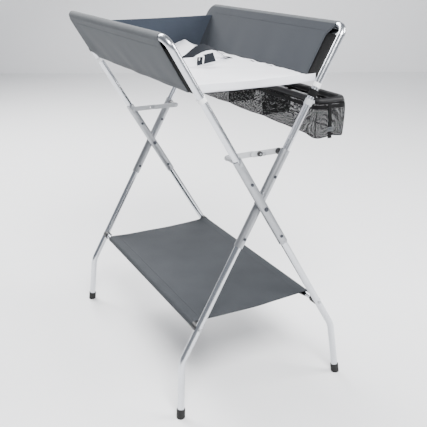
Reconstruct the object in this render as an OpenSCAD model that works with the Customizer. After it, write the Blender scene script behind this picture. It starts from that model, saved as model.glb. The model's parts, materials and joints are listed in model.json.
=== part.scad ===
// Folding changing table: two crossed tube frames, a fabric tray with a mat on top,
// a fabric shelf below and a mesh basket on one side.
// X runs across the table, towards the basket. Y runs along it, to the end with the upright panel.
// A leg is named after the place of its top: each leg's foot is on the other side.

/* [Frame] */
// Height of the top rails' centres above the floor
rail_h = 1000; // [850:5:1200]
// Distance between the centres of the two top rails when open
table_w = 505; // [420:5:620]
// Distance between the middles of the near and the far crossing
table_l = 740; // [560:5:900]
// Height of the crossing's pivots above the floor
pivot_h = 560; // [460:5:640]
// Outer diameter of the top hoops and the lower legs
tube_d = 19; // [15:0.5:24]
// Wall of every tube of the frame
tube_wall = 1.2; // [0.8:0.1:2]
// Radius of the hoops' corners, along the tube's centre
corner_r = 26; // [20:1:60]

/* [Crossing] */
// Outer diameter of the sleeve that joins a hoop to a lower leg
sleeve_d = 24; // [22:0.5:30]
// Length of a sleeve above the pivot
sleeve_up = 160; // [130:5:220]
// Length of a sleeve below the pivot
sleeve_down = 122; // [110:5:200]
// Distance from the pivot to the ends of the tubes inside a sleeve
tube_stop = 40; // [20:1:60]
// Distance from the pivot to the upper rivet
rivet_up = 84; // [70:1:100]
// Distance from the pivot to the lower rivet
rivet_down = 96; // [70:1:105]
// Shank diameter of the rivets
rivet_d = 4.8; // [3:0.1:6]
// Diameter of the pivot bolts
bolt_d = 6; // [5:0.5:8]
// Thickness of the plastic spacer between two sleeves
spacer_t = 2; // [1:0.5:6]
// Diameter of the plastic spacer
spacer_d = 20; // [14:1:21]

/* [Feet] */
// Height of the bend in the lower legs
bend_h = 155; // [110:5:200]
// Radius of that bend, along the tube's centre
bend_r = 70; // [40:5:120]
// How far a foot lands outside its bend, across the table
foot_out = 14; // [5:1:30]
// How far a foot lands outside its bend, along the table
foot_splay = 15; // [5:1:30]
// Wall of the rubber foot caps
cap_wall = 2.2; // [1.5:0.1:4]
// Height of the rubber foot caps
cap_h = 24; // [15:1:40]
// Thickness of rubber under a tube's end
cap_floor = 4; // [2:0.5:8]

/* [Shelf] */
// Height of the shelf tubes' centres
shelf_h = 244; // [210:2:320]
// Outer diameter of the shelf tubes
shelf_tube_d = 16; // [12:0.5:19]
// Outer diameter of the plugs at the shelf tubes' ends
plug_d = 22; // [20:0.5:28]
// How far a plug reaches along the shelf tube
plug_l = 13; // [8:1:30]
// Thickness of the shelf cloth
shelf_cloth = 1.2; // [0.8:0.1:3]

/* [Brace] */
// Distance from the crossing's pivot to a brace pin, along the leg
brace_r = 149; // [120:1:170]
// Diameter of the brace pins
brace_pin_d = 6; // [4:0.5:7]
// Width of a brace arm
arm_w = 15; // [12:0.5:20]
// Thickness of a brace arm
arm_t = 3; // [2:0.5:4]
// Free room between the inner leg and the brace, for the lock knob and its pull
lock_room = 15; // [13:0.5:25]
// Travel of the lock knob
lock_travel = 5.5; // [3:0.5:6]
// Diameter of the lock knob
knob_d = 14; // [10:0.5:18]
// Distance from the middle joint of the brace to the lock
lock_at = 17; // [14:1:24]

/* [Tray] */
// Height of the tray cloth
floor_h = 866; // [780:2:900]
// Thickness of the tray cloth
floor_cloth = 1.6; // [1:0.1:3]
// Thickness of the side panels and of the end panel
panel_t = 3; // [2:0.5:6]
// Thickness of the panels' sleeve around a rail
wrap_t = 1.4; // [1:0.1:3]
// Thickness of the changing mat
mat_t = 15; // [8:1:30]
// How far the end panel's top stays under the rails' centres
end_drop = 22; // [5:1:60]
// Width of the dark edge binding
binding_w = 11; // [6:1:20]

/* [Basket] */
// Height of the basket rim's centre
basket_h = 815; // [740:5:830]
// Width of the basket, between the centres of its rim
basket_w = 81; // [60:1:82]
// Depth of the mesh bag under the rim
bag_depth = 79; // [50:1:110]
// Diameter of the padded rim
rim_d = 18; // [10:1:22]
// Radius of the rim's corners, along its centre
rim_corner_r = 24; // [18:1:36]
// Thickness of the mesh walls
mesh_t = 1.6; // [1:0.1:3]

/* [Hidden] */
$fn = 64;
fit = 0.05;             // radial clearance of pins, rivets and tubes in their holes
air = 0.3;              // gap that keeps two pieces apart where they would otherwise touch
bend_thin = 0.05;       // a bend is drawn this much thinner than the straight tube, on the radius
bend_lap = 1;           // length that a straight run reaches into a bend
tube_r = tube_d / 2;
sleeve_r = sleeve_d / 2;
shelf_tube_r = shelf_tube_d / 2;
rim_r = rim_d / 2;
lean = atan2(table_w / 2, rail_h - pivot_h);      // of the legs from the vertical
leg_off = sleeve_r + spacer_t / 2 + air;          // of a leg from its crossing's middle
outer_y = table_l / 2 + leg_off;                  // of the outer leg of a crossing
inner_y = table_l / 2 - leg_off;                  // of the inner leg of a crossing
rail_r = (rail_h - pivot_h) / cos(lean);          // pivot to rail, along the leg
// Height above the floor to distance above the pivot along a leg, and to distance from the middle
function along(h) = (h - pivot_h) / cos(lean);
function across(h) = (h - pivot_h) * tan(lean);
brace_h = pivot_h + brace_r * cos(lean);
brace_x = brace_r * sin(lean);
arm_y = -inner_y + sleeve_r + lock_room;          // outer face of the arm on the inner leg
arm_gap = 1;                                      // between the two arms of a brace
arm2_y = arm_y + arm_t + arm_gap;                 // outer face of the arm on the outer leg
head_t = 2;                                       // height of a rivet's or pin's head
shelf_x = -across(shelf_h);
wrap_r = tube_r + air + wrap_t;
shelf_wrap_r = shelf_tube_r + air + shelf_cloth;
panel_near = outer_y - tube_r - air;              // where a panel ends next to the outer leg
panel_far = inner_y - tube_r - air;               // where a panel ends next to the inner leg
mat_h = floor_h + floor_cloth / 2 + air;          // underside of the mat
hook_t = 1.6;                                     // wall of a basket hook
hook_gap = 2;                                     // between a basket hook and the rim
rim_x = across(basket_h) + (tube_r + hook_t + rim_r + hook_gap) / cos(lean);
rim_near = -inner_y - tube_r - hook_t;            // the rim's near end, at its centre
rim_far = outer_y + tube_r + hook_t;              // the rim's far end, at its centre

// ---- Helpers ----

// The same thing on the other side of the table: each frame is the other one turned by half a turn
module half_turn() {
    rotate([0, 0, 180]) children();
}

// A place on a leg: side is -1 for a leg that leans left and 1 for one that leans right
module on_leg(side, y, r) {
    translate([0, y, pivot_h]) rotate([0, side * lean, 0]) translate([0, 0, r]) children();
}

// A cylinder along Y, centred across it, from y = 0 to y = l
module along_y(d, l) {
    rotate([-90, 0, 0]) cylinder(d = d, h = l);
}

function unit(v) = v / norm(v);

// A straight rod between two points
module rod(p, q, d) {
    v = q - p;
    turn = cross([0, 0, 1], v);
    translate(p)
        rotate(a = acos(v.z / norm(v)), v = norm(turn) > 0 ? turn : [1, 0, 0])
            cylinder(d = d, h = norm(v));
}

// The distance that a corner of radius r takes from each side of it, turning from a to b
function corner_cut(a, b, r) = r * tan(acos(a * b) / 2);

// The round of a rod at corner p, coming along a and leaving along b
module corner(p, a, b, r, d) {
    n = unit(b - (a * b) * a);
    c = p - corner_cut(a, b, r) * a + r * n;
    k = cross(-n, a);
    multmatrix([
        [-n.x, a.x, k.x, c.x],
        [-n.y, a.y, k.y, c.y],
        [-n.z, a.z, k.z, c.z],
        [0, 0, 0, 1]
    ])
        rotate_extrude(angle = acos(a * b)) translate([r, 0]) circle(d = d);
}

// A rod through a list of points with rounded corners
module bent_rod(points, r, d) {
    last = len(points) - 1;
    dir = [for (i = [0:last - 1]) unit(points[i + 1] - points[i])];
    cut = [for (i = [0:last]) i == 0 || i == last ? 0 : corner_cut(dir[i - 1], dir[i], r)];
    lap = [for (i = [0:last]) i == 0 || i == last ? 0 : bend_lap];
    for (i = [0:last - 1])
        rod(points[i] + (cut[i] - lap[i]) * dir[i], points[i + 1] - (cut[i + 1] - lap[i + 1]) * dir[i], d);
    for (i = [1:1:last - 1])
        corner(points[i], dir[i - 1], dir[i], r, d - 2 * bend_thin);
}

module bent_tube(points, r, d) {
    difference() {
        bent_rod(points, r, d);
        bent_rod(points, r, d - 2 * tube_wall);
    }
}

// A rivet or pin along Y with a flat-domed head at each end, from y = 0 to y = l
module headed_pin(d, head_d, l) {
    along_y(d, l);
    translate([0, -head_t, 0]) along_y(head_d, head_t);
    translate([0, l, 0]) along_y(head_d, head_t);
}

// ---- Tubes ----

// The left hoop lies in one plane: up the near leg, along the rail and down the far leg
module top_hoop() {
    color("silver") difference() {
        on_leg(-1, 0, 0) bent_tube([
            [0, -outer_y, tube_stop],
            [0, -outer_y, rail_r],
            [0, inner_y, rail_r],
            [0, inner_y, tube_stop]
        ], corner_r, tube_d);
        for (y = [-outer_y, inner_y]) {
            on_leg(-1, y - tube_d, rivet_up) along_y(rivet_d + 2 * fit, 2 * tube_d);
            on_leg(-1, y - tube_d, brace_r) along_y(brace_pin_d + 2 * fit, 2 * tube_d);
        }
    }
}

// The sleeve round a crossing's pivot, on the leg at y
module sleeve(side, y) {
    color("darkgray") difference() {
        on_leg(side, y, -sleeve_down) cylinder(d = sleeve_d, h = sleeve_down + sleeve_up);
        on_leg(side, y, -sleeve_down - 1) cylinder(d = tube_d + 2 * fit, h = sleeve_down + sleeve_up + 2);
        for (r = [-rivet_down, rivet_up])
            on_leg(side, y - sleeve_d, r) along_y(rivet_d + 2 * fit, 2 * sleeve_d);
        on_leg(side, y - sleeve_d, brace_r) along_y(brace_pin_d + 2 * fit, 2 * sleeve_d);
        on_leg(side, y - sleeve_d, 0) along_y(bolt_d + 2 * fit, 2 * sleeve_d);
    }
}

// Where a lower leg starts, bends and meets the floor
function leg_point(side, y, r) = [side * r * sin(lean), y, pivot_h + r * cos(lean)];
function bend_point(side, y) = leg_point(side, y, along(bend_h));
function foot_point(side, y) = bend_point(side, y) + [-side * foot_out, -foot_splay, -bend_h];
function foot_dir(side, y) = unit(foot_point(side, y) - bend_point(side, y));

module lower_leg(side, y) {
    color("silver") difference() {
        bent_tube([
            leg_point(side, y, -tube_stop),
            bend_point(side, y),
            foot_point(side, y) - cap_floor / -foot_dir(side, y).z * foot_dir(side, y)
        ], bend_r, tube_d);
        on_leg(side, y - tube_d, -rivet_down) along_y(rivet_d + 2 * fit, 2 * tube_d);
        on_leg(side, y - tube_d, along(shelf_h)) along_y(rivet_d + 2 * fit, 2 * tube_d);
    }
}

// A rubber cup on the tube's end, cut flat where it stands on the floor
module foot_cap(side, y) {
    foot = foot_point(side, y);
    dir = foot_dir(side, y);
    end = foot - cap_floor / -dir.z * dir;
    top = end - (cap_h - cap_floor) * dir;
    color("black") difference() {
        rod(top, foot + cap_h * dir, tube_d + 2 * fit + 2 * cap_wall);
        rod(top - dir, end, tube_d + 2 * fit);
        translate([foot.x, foot.y, -2 * cap_h]) cylinder(r = 2 * tube_d, h = 2 * cap_h);
    }
}

// Two rivets on each leg of the left frame
module leg_rivets() {
    color("dimgray") {
        for (y = [-outer_y, inner_y], r = [-rivet_down, rivet_up])
            on_leg(-1, y - sleeve_r, r) headed_pin(rivet_d, 1.7 * rivet_d, sleeve_d);
    }
}

// ---- Crossing ----

module pivot_bolt() {
    color("gray") on_leg(-1, -outer_y - sleeve_r, 0)
        headed_pin(bolt_d, 2 * bolt_d, 2 * leg_off + sleeve_d + fit);
}

// A saddle that hugs the outer sleeve and gives the inner one a flat face to turn on
module pivot_spacer() {
    color("black") difference() {
        on_leg(-1, -outer_y, 0) along_y(spacer_d, sleeve_r + spacer_t);
        on_leg(-1, -outer_y, -sleeve_d) cylinder(d = sleeve_d + 2 * fit, h = 2 * sleeve_d);
        on_leg(-1, -outer_y - sleeve_r, 0) along_y(bolt_d + 2 * fit, 2 * sleeve_d);
    }
}

// ---- Shelf frame ----

// The left frame's shelf tube runs between its two lower legs, on the right
module shelf_tube() {
    near = -outer_y + tube_r + 2;
    far = inner_y - tube_r - 2;
    color("silver") translate([shelf_x, near, shelf_h]) difference() {
        along_y(shelf_tube_d, far - near);
        translate([0, -1, 0]) along_y(shelf_tube_d - 2 * tube_wall, far - near + 2);
    }
}

// A plug with a saddle for the leg, a collar round the shelf tube and a core inside it
module shelf_plug(y, inward) {
    difference() {
        translate([shelf_x, y, shelf_h]) rotate([0, 0, inward > 0 ? 0 : 180]) difference() {
            along_y(plug_d, tube_r + 2 + plug_l);
            translate([0, tube_r + 2, 0]) difference() {
                along_y(shelf_tube_d + 2 * fit, plug_l + 1);
                along_y(shelf_tube_d - 2 * tube_wall - 2 * fit, plug_l + 2);
            }
            along_y(rivet_d + 2 * fit, tube_r + plug_l);
        }
        on_leg(-1, y, along(shelf_h) - plug_d) cylinder(d = tube_d + 2 * fit, h = 2 * plug_d);
    }
}

module shelf_plugs() {
    color("black") {
        shelf_plug(-outer_y, 1);
        shelf_plug(inner_y, -1);
    }
}

// A screw from outside each leg into its plug
module shelf_screws() {
    reach = 2 * tube_r + plug_l - 2;
    color("lightgray") {
        translate([shelf_x, -outer_y - tube_r, shelf_h]) along_y(rivet_d, reach);
        translate([shelf_x, -outer_y - tube_r - head_t, shelf_h]) along_y(2 * rivet_d, head_t);
        translate([shelf_x, inner_y + tube_r - reach, shelf_h]) along_y(rivet_d, reach);
        translate([shelf_x, inner_y + tube_r, shelf_h]) along_y(2 * rivet_d, head_t);
    }
}

// ---- Brace ----

// Where the brace pins sit: on the near crossing the left leg is the outer one
outer_pin_l = arm2_y + arm_t + outer_y + sleeve_r;
inner_pin_l = arm_y + arm_t + inner_y + sleeve_r;

module outer_brace_pin() {
    on_leg(-1, -outer_y - sleeve_r, brace_r) headed_pin(brace_pin_d, 1.7 * brace_pin_d, outer_pin_l);
}

module inner_brace_pin() {
    on_leg(1, -inner_y - sleeve_r, brace_r) headed_pin(brace_pin_d, 1.7 * brace_pin_d, inner_pin_l);
}

// The left frame has the outer pin near and the inner one far
module brace_pins() {
    color("gray") {
        outer_brace_pin();
        half_turn() inner_brace_pin();
    }
}

// A round block on a pin, between the leg and the brace arm
module brace_block(side, y, reach, d) {
    difference() {
        on_leg(side, y, brace_r) along_y(d, reach - y - air);
        on_leg(side, y, brace_r - d) cylinder(d = sleeve_d + 2 * fit, h = 2 * d);
        on_leg(side, y - 1, brace_r) along_y(brace_pin_d + 2 * fit, reach - y + 2);
    }
}

module brace_blocks() {
    color("black") {
        brace_block(-1, -outer_y, arm2_y, 2 * brace_pin_d);
        half_turn() brace_block(1, -inner_y, arm_y, 3 * brace_pin_d);
    }
}

// A flat arm from its pin at x to the middle of the brace, with round ends
module brace_arm(x, y, holes) {
    color("lightgray") translate([0, y + arm_t, brace_h]) rotate([90, 0, 0]) linear_extrude(arm_t) difference() {
        union() {
            translate([min(x, 0), -arm_w / 2]) square([abs(x), arm_w]);
            for (at = [x, 0]) translate([at, 0]) circle(d = arm_w);
        }
        translate([x, 0]) circle(d = brace_pin_d + 2 * fit);
        for (at = holes) translate([at, 0]) circle(d = rivet_d + 2 * fit);
    }
}

// The arm on the inner leg carries the lock, the one on the outer leg the middle rivet
module inner_arm() {
    brace_arm(brace_x, arm_y, [lock_at]);
}

module outer_arm() {
    brace_arm(-brace_x, arm2_y, [0]);
}

// The middle joint's rivet: it stops short of the other arm, which turns past it
module brace_rivet() {
    color("gray") translate([0, arm2_y, brace_h]) {
        along_y(rivet_d, arm_t);
        translate([0, arm_t, 0]) along_y(1.9 * rivet_d, head_t);
    }
}

knob_l = lock_room - lock_travel - head_t - 3 * air;  // the pulled knob still clears the leg and its rivets
knob_x = lock_at;
ring_r = 6;
ring_d = 1.6;

module ring_shape(d) {
    translate([knob_x + knob_d / 2 + ring_r - 2, arm_y - knob_l + 2, brace_h])
        rotate([90, 0, 0]) rotate_extrude() translate([ring_r, 0]) circle(d = d);
}

// The knob has a collar at the arm, a waist and a bored end for the ring
module lock_knob() {
    color("black") difference() {
        translate([knob_x, arm_y - air, brace_h]) rotate([90, 0, 0]) rotate_extrude() polygon([
            [rivet_d / 2, 0],
            [knob_d / 2, 0],
            [knob_d / 2, knob_l * 0.2],
            [knob_d / 2 - 1.5, knob_l * 0.35],
            [knob_d / 2 - 1.5, knob_l * 0.6],
            [knob_d / 2 - 0.5, knob_l * 0.75],
            [knob_d / 2 - 0.5, knob_l - 0.8],
            [knob_d / 2 - 1.3, knob_l - air],
            [rivet_d / 2, knob_l - air]
        ]);
        ring_shape(ring_d + 4 * fit);
    }
}

// The pin passes through the knob and ends inside the arm's thickness
module lock_pin() {
    color("gray") translate([knob_x, arm_y - knob_l - 0.4, brace_h])
        along_y(rivet_d - 2 * fit, knob_l + arm_t);
}

module pull_ring() {
    color("silver") ring_shape(ring_d);
}

// ---- Cloth ----

// A side panel hangs from its rail in the plane of the hoop, between the hoop's legs
panel_l = rail_r - along(floor_h);

module side_panel() {
    rail_near = -outer_y + corner_r;
    rail_far = inner_y - corner_r;
    color("dimgray") on_leg(-1, 0, rail_r) difference() {
        union() {
            translate([0, rail_near, 0]) along_y(2 * wrap_r, rail_far - rail_near);
            translate([-panel_t / 2, -panel_near + binding_w, -panel_l])
                cube([panel_t, panel_near + panel_far - 2 * binding_w, panel_l]);
        }
        bent_rod([
            [0, -outer_y, -panel_l],
            [0, -outer_y, 0],
            [0, inner_y, 0],
            [0, inner_y, -panel_l]
        ], corner_r, tube_d + 2 * air);
    }
}

// Dark edge bindings on a side panel's two upright edges
module panel_binding() {
    top = corner_r + 2;
    color("black") on_leg(-1, 0, rail_r)
        for (y = [-panel_near, panel_far - binding_w])
            translate([-panel_t / 2 - 0.4, y, -panel_l])
                cube([panel_t + 0.8, binding_w, panel_l - top]);
}

// Rings on the legs just under the tray cloth's corners
clip_h = 12;
module tray_clips() {
    color("gainsboro") for (y = [-outer_y, inner_y])
        on_leg(-1, y, along(floor_h) - clip_h - 4) difference() {
            cylinder(d = tube_d + 2 * fit + 3, h = clip_h);
            translate([0, 0, -1]) cylinder(d = tube_d + 2 * fit, h = clip_h + 2);
        }
}

// Half the width between the inner faces of the two side panels at height h
function tray_half(h) = across(h) - (panel_t / 2 + 0.4 + 2 * air) / cos(lean);

module tray_floor() {
    half = tray_half(floor_h);
    color("gainsboro") translate([-half, -inner_y + tube_r, floor_h - floor_cloth / 2])
        cube([2 * half, 2 * (inner_y - tube_r) , floor_cloth]);
}

module changing_mat() {
    half = tray_half(mat_h) - 2;
    near = -inner_y + tube_r + 2;
    far = panel_far - panel_t - 4;
    color("whitesmoke") translate([-half, near, mat_h])
        cube([2 * half, far - near, mat_t]);
}

module end_panel() {
    low = floor_h + floor_cloth / 2 + air;
    high = rail_h - end_drop;
    color("darkslategray") translate([0, panel_far, 0]) rotate([90, 0, 0]) linear_extrude(panel_t) polygon([
        [-tray_half(low), low],
        [tray_half(low), low],
        [tray_half(high), high],
        [-tray_half(high), high]
    ]);
}

// The shelf cloth goes round both shelf tubes and lies tight between them
module shelf_cloth_panel() {
    near = -inner_y + tube_r + plug_l + 4;
    color("dimgray") translate([0, -near, shelf_h]) rotate([90, 0, 0]) linear_extrude(-2 * near) difference() {
        union() {
            for (x = [shelf_x, -shelf_x]) translate([x, 0]) circle(r = shelf_wrap_r);
            translate([-abs(shelf_x), shelf_tube_r + 2 * air - 0.2])
                square([2 * abs(shelf_x), shelf_cloth]);
        }
        for (x = [shelf_x, -shelf_x]) translate([x, 0]) circle(r = shelf_tube_r + air);
    }
}

// The waist belt rises from the mat in an arch, and its buckled end lies in front of the arch
belt_w = 36;
belt_t = 2;
belt_span = 130;
belt_rise = 42;
belt_x = 20;
belt_y = 10;
buckle = [30, 12, 25];
mat_top = mat_h + mat_t + air;

module belt_arch(inset) {
    polygon([
        [-belt_span / 2 + inset, 0],
        [belt_span / 2 - inset, 0],
        [belt_span / 2 - inset, belt_rise * 0.4],
        [belt_span / 5, belt_rise - inset],
        [-belt_span / 5, belt_rise - inset],
        [-belt_span / 2 + inset, belt_rise * 0.4]
    ]);
}

module belt_strap() {
    color("gray") translate([belt_x, belt_y + belt_w / 2, mat_top]) rotate([90, 0, 0])
        linear_extrude(belt_w) difference() {
            belt_arch(0);
            translate([0, -belt_t]) belt_arch(belt_t);
        }
}

module belt_buckle() {
    color("white") translate([belt_x - belt_w, belt_y - 2 * belt_w + buckle.y / 2, mat_top])
        cube(buckle);
}

// ---- Basket ----

module basket_rim() {
    color("black") {
        rim = [
            [rim_x + basket_w / 2, rim_near, basket_h],
            [rim_x, rim_near, basket_h],
            [rim_x, rim_far, basket_h],
            [rim_x + basket_w, rim_far, basket_h],
            [rim_x + basket_w, rim_near, basket_h],
            [rim_x + basket_w / 2, rim_near, basket_h]
        ];
        bent_rod(rim, rim_corner_r, rim_d);
    }
}

// The bag's walls start under the rim and lean a little towards the legs
bag_top = basket_h - rim_r - air;
bag_low = basket_h - rim_r - bag_depth;
bag_lean = 5;
bag_edge = rim_r * 0.9;

module bag_profile(inset, low, high) {
    shift = function (z) bag_lean * (bag_top - z) / (bag_top - bag_low);
    polygon([
        [rim_x - bag_edge + inset - shift(low), low],
        [rim_x + basket_w + bag_edge - inset - shift(low), low],
        [rim_x + basket_w + bag_edge - inset - shift(high), high],
        [rim_x - bag_edge + inset - shift(high), high]
    ]);
}

module bag_block(inset, low, high) {
    near = rim_near - bag_edge + inset;
    far = rim_far + bag_edge - inset;
    translate([0, far, 0]) rotate([90, 0, 0]) linear_extrude(far - near) bag_profile(inset, low, high);
}

module basket_bag() {
    color("dimgray") difference() {
        bag_block(0, bag_low, bag_top);
        bag_block(mesh_t, bag_low + mesh_t, bag_top + 1);
    }
}

// Two mesh walls part the basket into three
divider_y = [-0.14 * table_l, 0.14 * table_l];

module basket_dividers() {
    color("black") for (y = divider_y)
        translate([0, y, 0]) rotate([90, 0, 0]) linear_extrude(mesh_t)
            bag_profile(mesh_t + air, bag_low + mesh_t + air, bag_top - rim_r);
}

// A hook holds the rim on each right leg: a ring round the tube and an arm that cups the rim
module basket_hook(y) {
    hook_l = 16;
    difference() {
        union() {
            on_leg(1, y, along(basket_h) - hook_l / 2)
                cylinder(d = tube_d + 2 * fit + 2 * hook_t, h = hook_l);
            translate([across(basket_h), y - hook_l / 4, basket_h - hook_l / 4])
                cube([rim_x - across(basket_h), hook_l / 2, hook_l / 2]);
        }
        on_leg(1, y, along(basket_h) - hook_l)
            cylinder(d = tube_d + 2 * fit, h = 2 * hook_l);
        translate([rim_x, y - hook_l, basket_h]) along_y(rim_d + 2 * fit, 2 * hook_l);
    }
}

module basket_hooks() {
    color("silver") {
        basket_hook(-inner_y);
        basket_hook(outer_y);
    }
}

// Webbing loops round the right legs, above the hooks
module basket_loops() {
    loop_w = 20;
    color("black") for (y = [-inner_y, outer_y])
        on_leg(1, y, along(basket_h) + 12) difference() {
            cylinder(d = tube_d + 2 * air + 3, h = loop_w);
            translate([0, 0, -1]) cylinder(d = tube_d + 2 * air, h = loop_w + 2);
        }
}

// A strap hangs down the bag's near end
module basket_strap() {
    strap = [12, 1.6, bag_depth + 12];
    color("black") translate([rim_x + basket_w * 0.25, rim_near - bag_edge - air - strap.y, bag_top - strap.z])
        cube(strap);
}

top_hoop();  // top_hoop_left
half_turn() top_hoop();  // top_hoop_right
sleeve(-1, -outer_y);  // sleeve_near_left
sleeve(1, -inner_y);  // sleeve_near_right
half_turn() sleeve(1, -inner_y);  // sleeve_far_left
half_turn() sleeve(-1, -outer_y);  // sleeve_far_right
lower_leg(-1, -outer_y);  // lower_leg_near_left
lower_leg(1, -inner_y);  // lower_leg_near_right
half_turn() lower_leg(1, -inner_y);  // lower_leg_far_left
half_turn() lower_leg(-1, -outer_y);  // lower_leg_far_right
foot_cap(-1, -outer_y);  // foot_cap_near_left
foot_cap(1, -inner_y);  // foot_cap_near_right
half_turn() foot_cap(1, -inner_y);  // foot_cap_far_left
half_turn() foot_cap(-1, -outer_y);  // foot_cap_far_right
leg_rivets();  // leg_rivets_left
half_turn() leg_rivets();  // leg_rivets_right
pivot_bolt();  // pivot_bolt_near
half_turn() pivot_bolt();  // pivot_bolt_far
pivot_spacer();  // pivot_spacer_near
half_turn() pivot_spacer();  // pivot_spacer_far
half_turn() shelf_tube();  // shelf_tube_left
shelf_tube();  // shelf_tube_right
half_turn() shelf_plugs();  // shelf_plugs_left
shelf_plugs();  // shelf_plugs_right
half_turn() shelf_screws();  // shelf_screws_left
shelf_screws();  // shelf_screws_right
brace_pins();  // brace_pins_left
half_turn() brace_pins();  // brace_pins_right
brace_blocks();  // brace_blocks_left
half_turn() brace_blocks();  // brace_blocks_right
outer_arm();  // brace_arm_near_left
inner_arm();  // brace_arm_near_right
half_turn() inner_arm();  // brace_arm_far_left
half_turn() outer_arm();  // brace_arm_far_right
brace_rivet();  // brace_rivet_near
half_turn() brace_rivet();  // brace_rivet_far
lock_knob();
lock_pin();
pull_ring();
side_panel();  // side_panel_left
half_turn() side_panel();  // side_panel_right
panel_binding();  // panel_binding_left
half_turn() panel_binding();  // panel_binding_right
tray_clips();  // tray_clips_left
half_turn() tray_clips();  // tray_clips_right
tray_floor();
changing_mat();
end_panel();
shelf_cloth_panel();
belt_strap();
belt_buckle();
basket_rim();
basket_bag();
basket_dividers();
basket_hooks();
basket_loops();
basket_strap();
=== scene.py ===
"""Looks of the folding changing table: cloth, padding, mesh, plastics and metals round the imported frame."""

import json
import logging
import math
from dataclasses import dataclass, field
from enum import Enum
from functools import cached_property
from typing import Callable, Iterable, Sequence

import bpy
from mathutils import Matrix, Vector

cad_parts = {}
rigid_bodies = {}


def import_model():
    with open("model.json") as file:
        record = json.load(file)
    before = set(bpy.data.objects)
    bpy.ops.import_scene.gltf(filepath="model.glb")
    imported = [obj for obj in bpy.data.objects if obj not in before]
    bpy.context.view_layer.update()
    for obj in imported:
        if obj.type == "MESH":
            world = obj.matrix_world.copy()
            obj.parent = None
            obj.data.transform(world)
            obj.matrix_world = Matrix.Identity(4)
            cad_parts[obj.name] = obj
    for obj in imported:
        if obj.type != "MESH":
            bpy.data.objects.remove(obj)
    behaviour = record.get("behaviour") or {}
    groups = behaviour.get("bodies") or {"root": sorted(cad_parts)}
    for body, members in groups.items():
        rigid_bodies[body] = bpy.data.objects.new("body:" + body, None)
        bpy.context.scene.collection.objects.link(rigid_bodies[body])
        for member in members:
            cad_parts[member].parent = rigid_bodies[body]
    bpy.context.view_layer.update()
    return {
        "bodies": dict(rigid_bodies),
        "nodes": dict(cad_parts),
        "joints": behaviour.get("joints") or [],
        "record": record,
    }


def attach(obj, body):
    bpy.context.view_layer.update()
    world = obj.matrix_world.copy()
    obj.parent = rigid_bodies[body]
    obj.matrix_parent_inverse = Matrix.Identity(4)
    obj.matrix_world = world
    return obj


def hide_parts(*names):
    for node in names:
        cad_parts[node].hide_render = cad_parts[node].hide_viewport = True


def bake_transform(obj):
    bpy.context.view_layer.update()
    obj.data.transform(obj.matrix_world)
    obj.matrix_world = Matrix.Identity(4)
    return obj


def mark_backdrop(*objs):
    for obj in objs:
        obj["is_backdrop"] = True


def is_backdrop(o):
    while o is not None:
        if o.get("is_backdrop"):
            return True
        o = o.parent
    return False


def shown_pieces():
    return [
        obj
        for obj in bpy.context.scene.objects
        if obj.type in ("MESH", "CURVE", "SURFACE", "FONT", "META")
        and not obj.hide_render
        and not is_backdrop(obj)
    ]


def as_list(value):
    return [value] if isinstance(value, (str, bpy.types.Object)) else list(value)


log = logging.getLogger("changing_table")

MM = 0.001
Place = Callable[[float, float], Vector]


class Side(Enum):
    """The two frames, named after the side that their rails are on."""

    LEFT = -1
    RIGHT = 1

    @property
    def word(self) -> str:
        """The word that node and body names use."""
        return self.name.lower()


# ---- Modelling helpers ----


def deselect() -> None:
    """Leaves nothing selected, so that the next operator acts on its own piece only."""
    if bpy.context.mode != "OBJECT":
        bpy.ops.object.mode_set(mode="OBJECT")
    bpy.ops.object.select_all(action="DESELECT")


def pick(piece: bpy.types.Object) -> None:
    """Makes a piece the only selected and the active one.

    Args:
        piece: The piece to pick.
    """
    deselect()
    piece.select_set(True)
    bpy.context.view_layer.objects.active = piece


def name_new(name: str) -> bpy.types.Object:
    """Names the object that an operator has just added.

    Args:
        name: The piece's name.

    Returns:
        The new object.
    """
    piece = bpy.context.active_object
    piece.name = name
    piece.data.name = name
    return piece


def edit(piece: bpy.types.Object, *steps: Callable[[], object]) -> None:
    """Runs edit-mode operators on the whole of a piece.

    Args:
        piece: The piece.
        steps: Calls without arguments, each one operator.
    """
    pick(piece)
    bpy.ops.object.mode_set(mode="EDIT")
    bpy.ops.mesh.select_all(action="SELECT")
    for step in steps:
        step()
    bpy.ops.object.mode_set(mode="OBJECT")


def merge_and_face_out(piece: bpy.types.Object, near: float = 0.02 * MM) -> None:
    """Merges a seam's doubled points and turns the faces outwards.

    Args:
        piece: The piece.
        near: Points closer than this are one.
    """
    edit(
        piece,
        lambda: bpy.ops.mesh.remove_doubles(threshold=near),
        lambda: bpy.ops.mesh.normals_make_consistent(inside=False),
    )


def apply(piece: bpy.types.Object, kind: str, **settings: object) -> None:
    """Adds a modifier and applies it at once.

    Args:
        piece: The piece.
        kind: The modifier's type.
        settings: Its properties.
    """
    pick(piece)
    modifier = piece.modifiers.new(kind.title(), kind)
    for key, value in settings.items():
        setattr(modifier, key, value)
    bpy.ops.object.modifier_apply(modifier=modifier.name)


def smooth(piece: bpy.types.Object, angle: float = 40.0) -> None:
    """Shades a piece smoothly, with its edges sharper than the angle left crisp."""
    pick(piece)
    bpy.ops.object.shade_smooth_by_angle(angle=math.radians(angle))


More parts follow.
